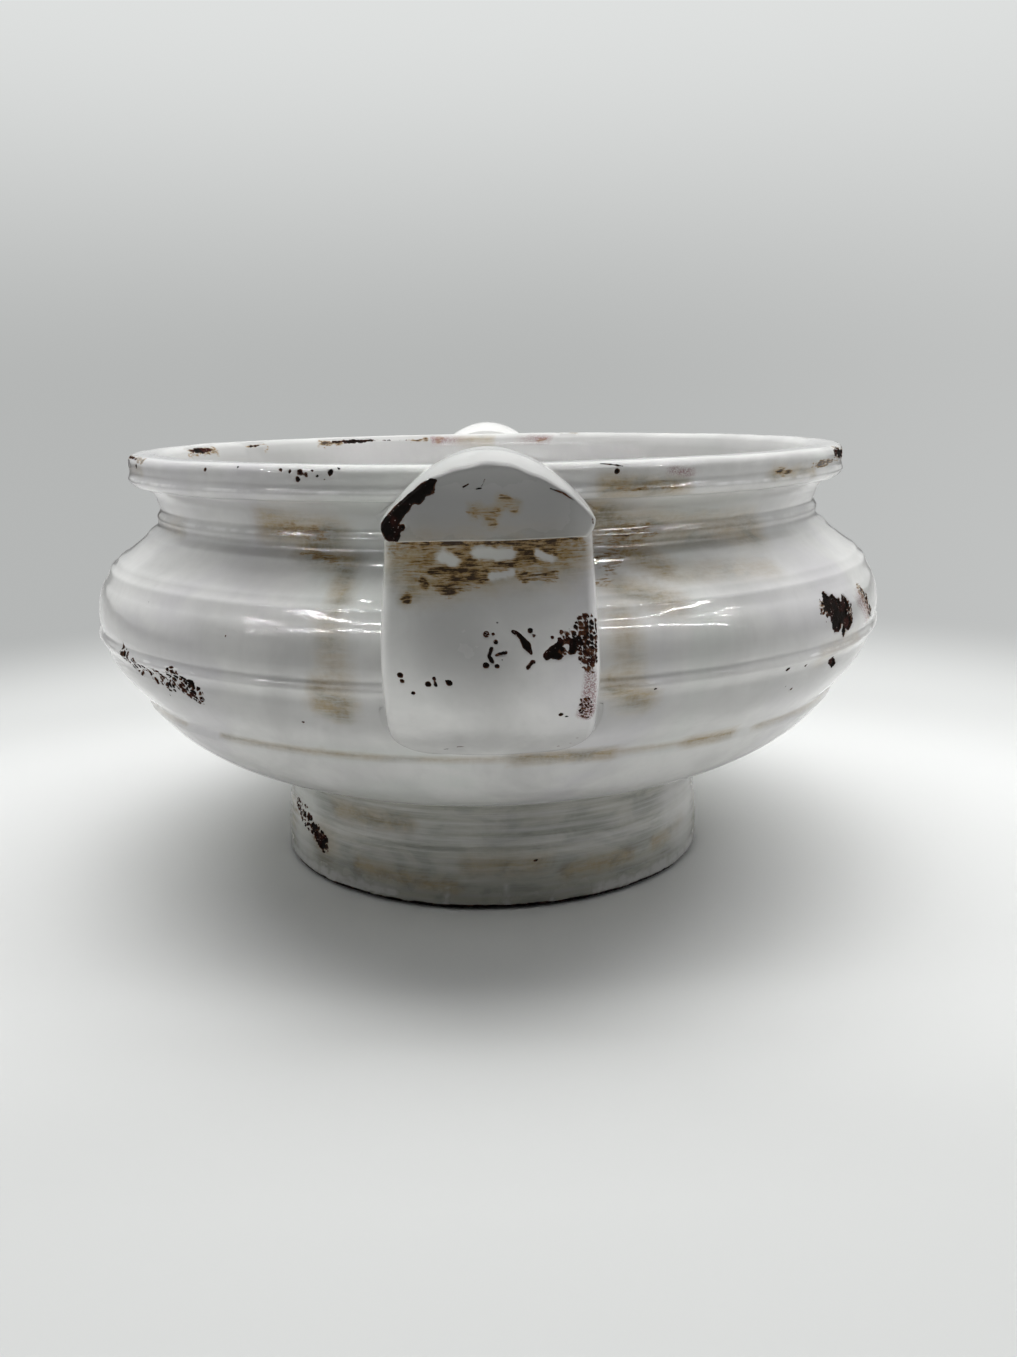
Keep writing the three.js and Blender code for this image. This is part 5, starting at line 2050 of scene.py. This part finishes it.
@dataclass
class Studio:
    """A pale round floor that fades into a grey backdrop, soft top light and the camera.

    Attributes:
        floor, floor_far, floor_grain: The floor's colour near the bowl, where painted light brightens it,
            further out, where it is darker as painted falloff, and in its grain.
        floor_bounce: Its colour as the bowl sees it.
        floor_radius, floor_sides: Its radius, in metres, and its corners.
        haze, haze_right: The backdrop's tone at the horizon, and at the right, where it is paler.
        sky: Its tone higher up.
        glow_front, glow_rear: The light that it gives from in front and from behind.
        mirror_dark, mirror_panel: What the glaze mirrors in front: a dark room with a pale panel.
        pale_to, haze_from: Radii between which the floor becomes the backdrop.
        eye, pitch, yaw, roll, lens, sensor: The camera.
        panels: The top panel, the weak side panels and the thin strips that draw the highlights.
    """

    floor: Colour = (0.84, 0.85, 0.84)
    floor_far: Colour = (0.66, 0.67, 0.66)
    floor_grain: Colour = (0.66, 0.67, 0.67)
    floor_bounce: Colour = (0.77, 0.775, 0.765)
    floor_radius: float = 40.0
    floor_sides: int = 64
    haze: Colour = (0.46, 0.47, 0.465)
    haze_right: Colour = (0.62, 0.63, 0.625)
    sky: Colour = (0.74, 0.755, 0.748)
    glow_front: Colour = (0.05, 0.05, 0.051)
    glow_rear: Colour = (0.17, 0.172, 0.175)
    mirror_dark: Colour = (0.06, 0.06, 0.062)
    mirror_panel: Colour = (1.1, 1.1, 1.1)
    pale_to: float = 0.34
    haze_from: float = 0.60
    eye: Triple = (0.0, -0.5, 0.1838)
    pitch: float = 0.2305
    yaw: float = 0.0147
    roll: float = 0.015
    lens: float = 32.41
    sensor: float = 36.0
    panels: Tuple[Panel, ...] = (
        Panel("top_panel", (0.09, 0.08, 1.3), (0.09, 0.08, 0.0), (2.0, 0.55), 23.2),
        Panel("left_panel", (-0.85, 0.15, 0.35), (0.0, 0.0, 0.08), (0.8, 0.6), 1.15),
        Panel("right_panel", (0.85, 0.15, 0.35), (0.0, 0.0, 0.08), (0.8, 0.6), 1.5),
        Panel("front_strip", (0.0, -0.50, 0.55), (0.0, -0.14, 0.12), (2.4, 0.005), 4.6, Lamp.SPARKLE),
        Panel("second_strip", (0.0, -0.28, 0.66), (0.0, -0.14, 0.12), (2.0, 0.004), 4.4, Lamp.SPARKLE))

    def camera(self) -> None:
        """Stands the camera where the photograph was taken from."""
        data = bpy.data.cameras.new("photo_camera")
        data.lens = self.lens
        data.sensor_width = self.sensor
        cp, sp = math.cos(self.pitch), math.sin(self.pitch)
        cy, sy = math.cos(self.yaw), math.sin(self.yaw)
        right = np.array([cy, -sy, 0.0])
        up = np.array([sy * sp, cy * sp, cp])
        ahead = np.array([sy * cp, cy * cp, -sp])
        cr, sr = math.cos(self.roll), math.sin(self.roll)
        thing = show("photo_camera", data)
        stand(thing, self.eye, cr * right - sr * up, sr * right + cr * up, -ahead)
        bpy.context.scene.camera = thing

    def fog(self, sheet: NodeSheet, right: Input) -> Socket:
        """The backdrop's tone at the horizon, paler towards the right."""
        return sheet.blend(sheet.times(sheet.step(right, 0.0, 0.5), 0.45), self.haze, self.haze_right)

    def backdrop(self) -> None:
        """Sets the soft grey backdrop behind the horizon."""
        world = bpy.data.worlds.new("backdrop")
        world.use_nodes = True
        world.node_tree.nodes.clear()
        sheet = NodeSheet(world.node_tree)
        right, rear, up = sheet.parts(sheet.add("ShaderNodeTexCoord").outputs["Generated"])
        seen = sheet.blend(sheet.step(up, 0.0, 0.30), self.fog(sheet, right), self.sky)
        behind = sheet.step(rear, -0.5, 0.6)
        dim = sheet.blend(behind, self.glow_front, self.glow_rear)
        panel = sheet.times(sheet.step(up, 0.40, 0.47), sheet.step(up, 0.92, 0.84))
        ahead = sheet.blend(panel, self.mirror_dark, self.mirror_panel)
        tones = (seen, dim, sheet.blend(behind, ahead, seen))
        shown, given, mirrored = [
            sheet.add("ShaderNodeBackground", {"Color": tone, "Strength": 1.0}).outputs[0] for tone in tones]
        paths = sheet.add("ShaderNodeLightPath").outputs
        both = sheet.add("ShaderNodeMixShader", {0: paths["Is Glossy Ray"], 1: given, 2: mirrored}).outputs[0]
        both = sheet.add("ShaderNodeMixShader", {0: paths["Is Camera Ray"], 1: both, 2: shown}).outputs[0]
        sheet.add("ShaderNodeOutputWorld", {"Surface": both})
        bpy.context.scene.world = world

    def ground(self) -> None:
        """Lays the floor."""
        material, sheet = blank_material("pale_floor")
        where = sheet.add("ShaderNodeTexCoord").outputs["Object"]
        paths = sheet.add("ShaderNodeLightPath").outputs
        grain = sheet.noise(where, 9.0, detail=3.0)
        # Painted light: the floor is brighter in an oval round the bowl, wider to the sides, and darker
        # further out.
        oval = sheet.length(sheet.vector("MULTIPLY", where, (0.72, 1.25, 1.0)))
        tone = sheet.blend(sheet.step(oval, 0.12, 0.33), self.floor, self.floor_far)
        tone = sheet.blend(sheet.times(grain, 0.08), tone, self.floor_grain)
        tone = sheet.blend(paths["Is Camera Ray"], self.floor_bounce, tone)
        paper = sheet.add("ShaderNodeBsdfDiffuse", {"Color": tone}).outputs[0]
        tripod = sheet.vector("SUBTRACT", where, (self.eye[0], self.eye[1], 0.0))
        right = sheet.math("DIVIDE", sheet.parts(tripod)[0], sheet.length(tripod))
        fog = self.fog(sheet, right)
        mist = sheet.add("ShaderNodeEmission", {"Color": fog, "Strength": 1.0}).outputs[0]
        far = sheet.step(sheet.length(where), self.pale_to, self.haze_from)
        seen = sheet.times(far, paths["Is Camera Ray"])
        both = sheet.add("ShaderNodeMixShader", {0: seen, 1: paper, 2: mist}).outputs[0]
        sheet.add("ShaderNodeOutputMaterial", {"Surface": both})
        turn = np.linspace(0.0, 2 * math.pi, self.floor_sides + 1)[:-1]
        ring = rows_of(np.cos(turn), np.sin(turn), np.zeros(self.floor_sides))
        mesh = bpy.data.meshes.new("floor")
        mesh.from_pydata((ring * self.floor_radius).tolist(), [], [tuple(range(self.floor_sides))])
        mesh.materials.append(material)
        show("floor", mesh)

    def build(self) -> None:
        """Sets the camera, the lamps, the backdrop and the floor."""
        bpy.context.scene.view_settings.view_transform = "Standard"
        self.camera()
        for panel in self.panels:
            panel.hang()
        self.backdrop()
        self.ground()


def main() -> None:
    """Builds the studio, then the bowl, its foot and its handles."""
    logging.basicConfig(level=logging.INFO, format="%(name)s: %(message)s")
    Studio().build()
    lattice = Lattice()
    wear_and_shade = WearAndShadeMap(lattice)
    bowl, foot = ThrownBowl(), ThrownFoot()
    front, rear = StrapHandle(bowl, Side.FRONT), StrapHandle(bowl, Side.REAR)
    WearAndShadePlan(bowl, foot, front, rear, wear_and_shade).lay()
    dresser = Dresser(wear_and_shade, lattice)
    white = AntiqueGlaze("white_glaze").material()
    aged = AntiqueGlaze("aged_glaze", wash=0.95).material()
    wheel = Wheel()
    bowl.build(wheel, dresser, white)
    foot.build(wheel, dresser, aged)
    front.build(dresser, white)
    rear.build(dresser, white)
    LOG.info("%d marks of wear", len(wear_and_shade.marks))


if __name__ == "__main__":
    main()
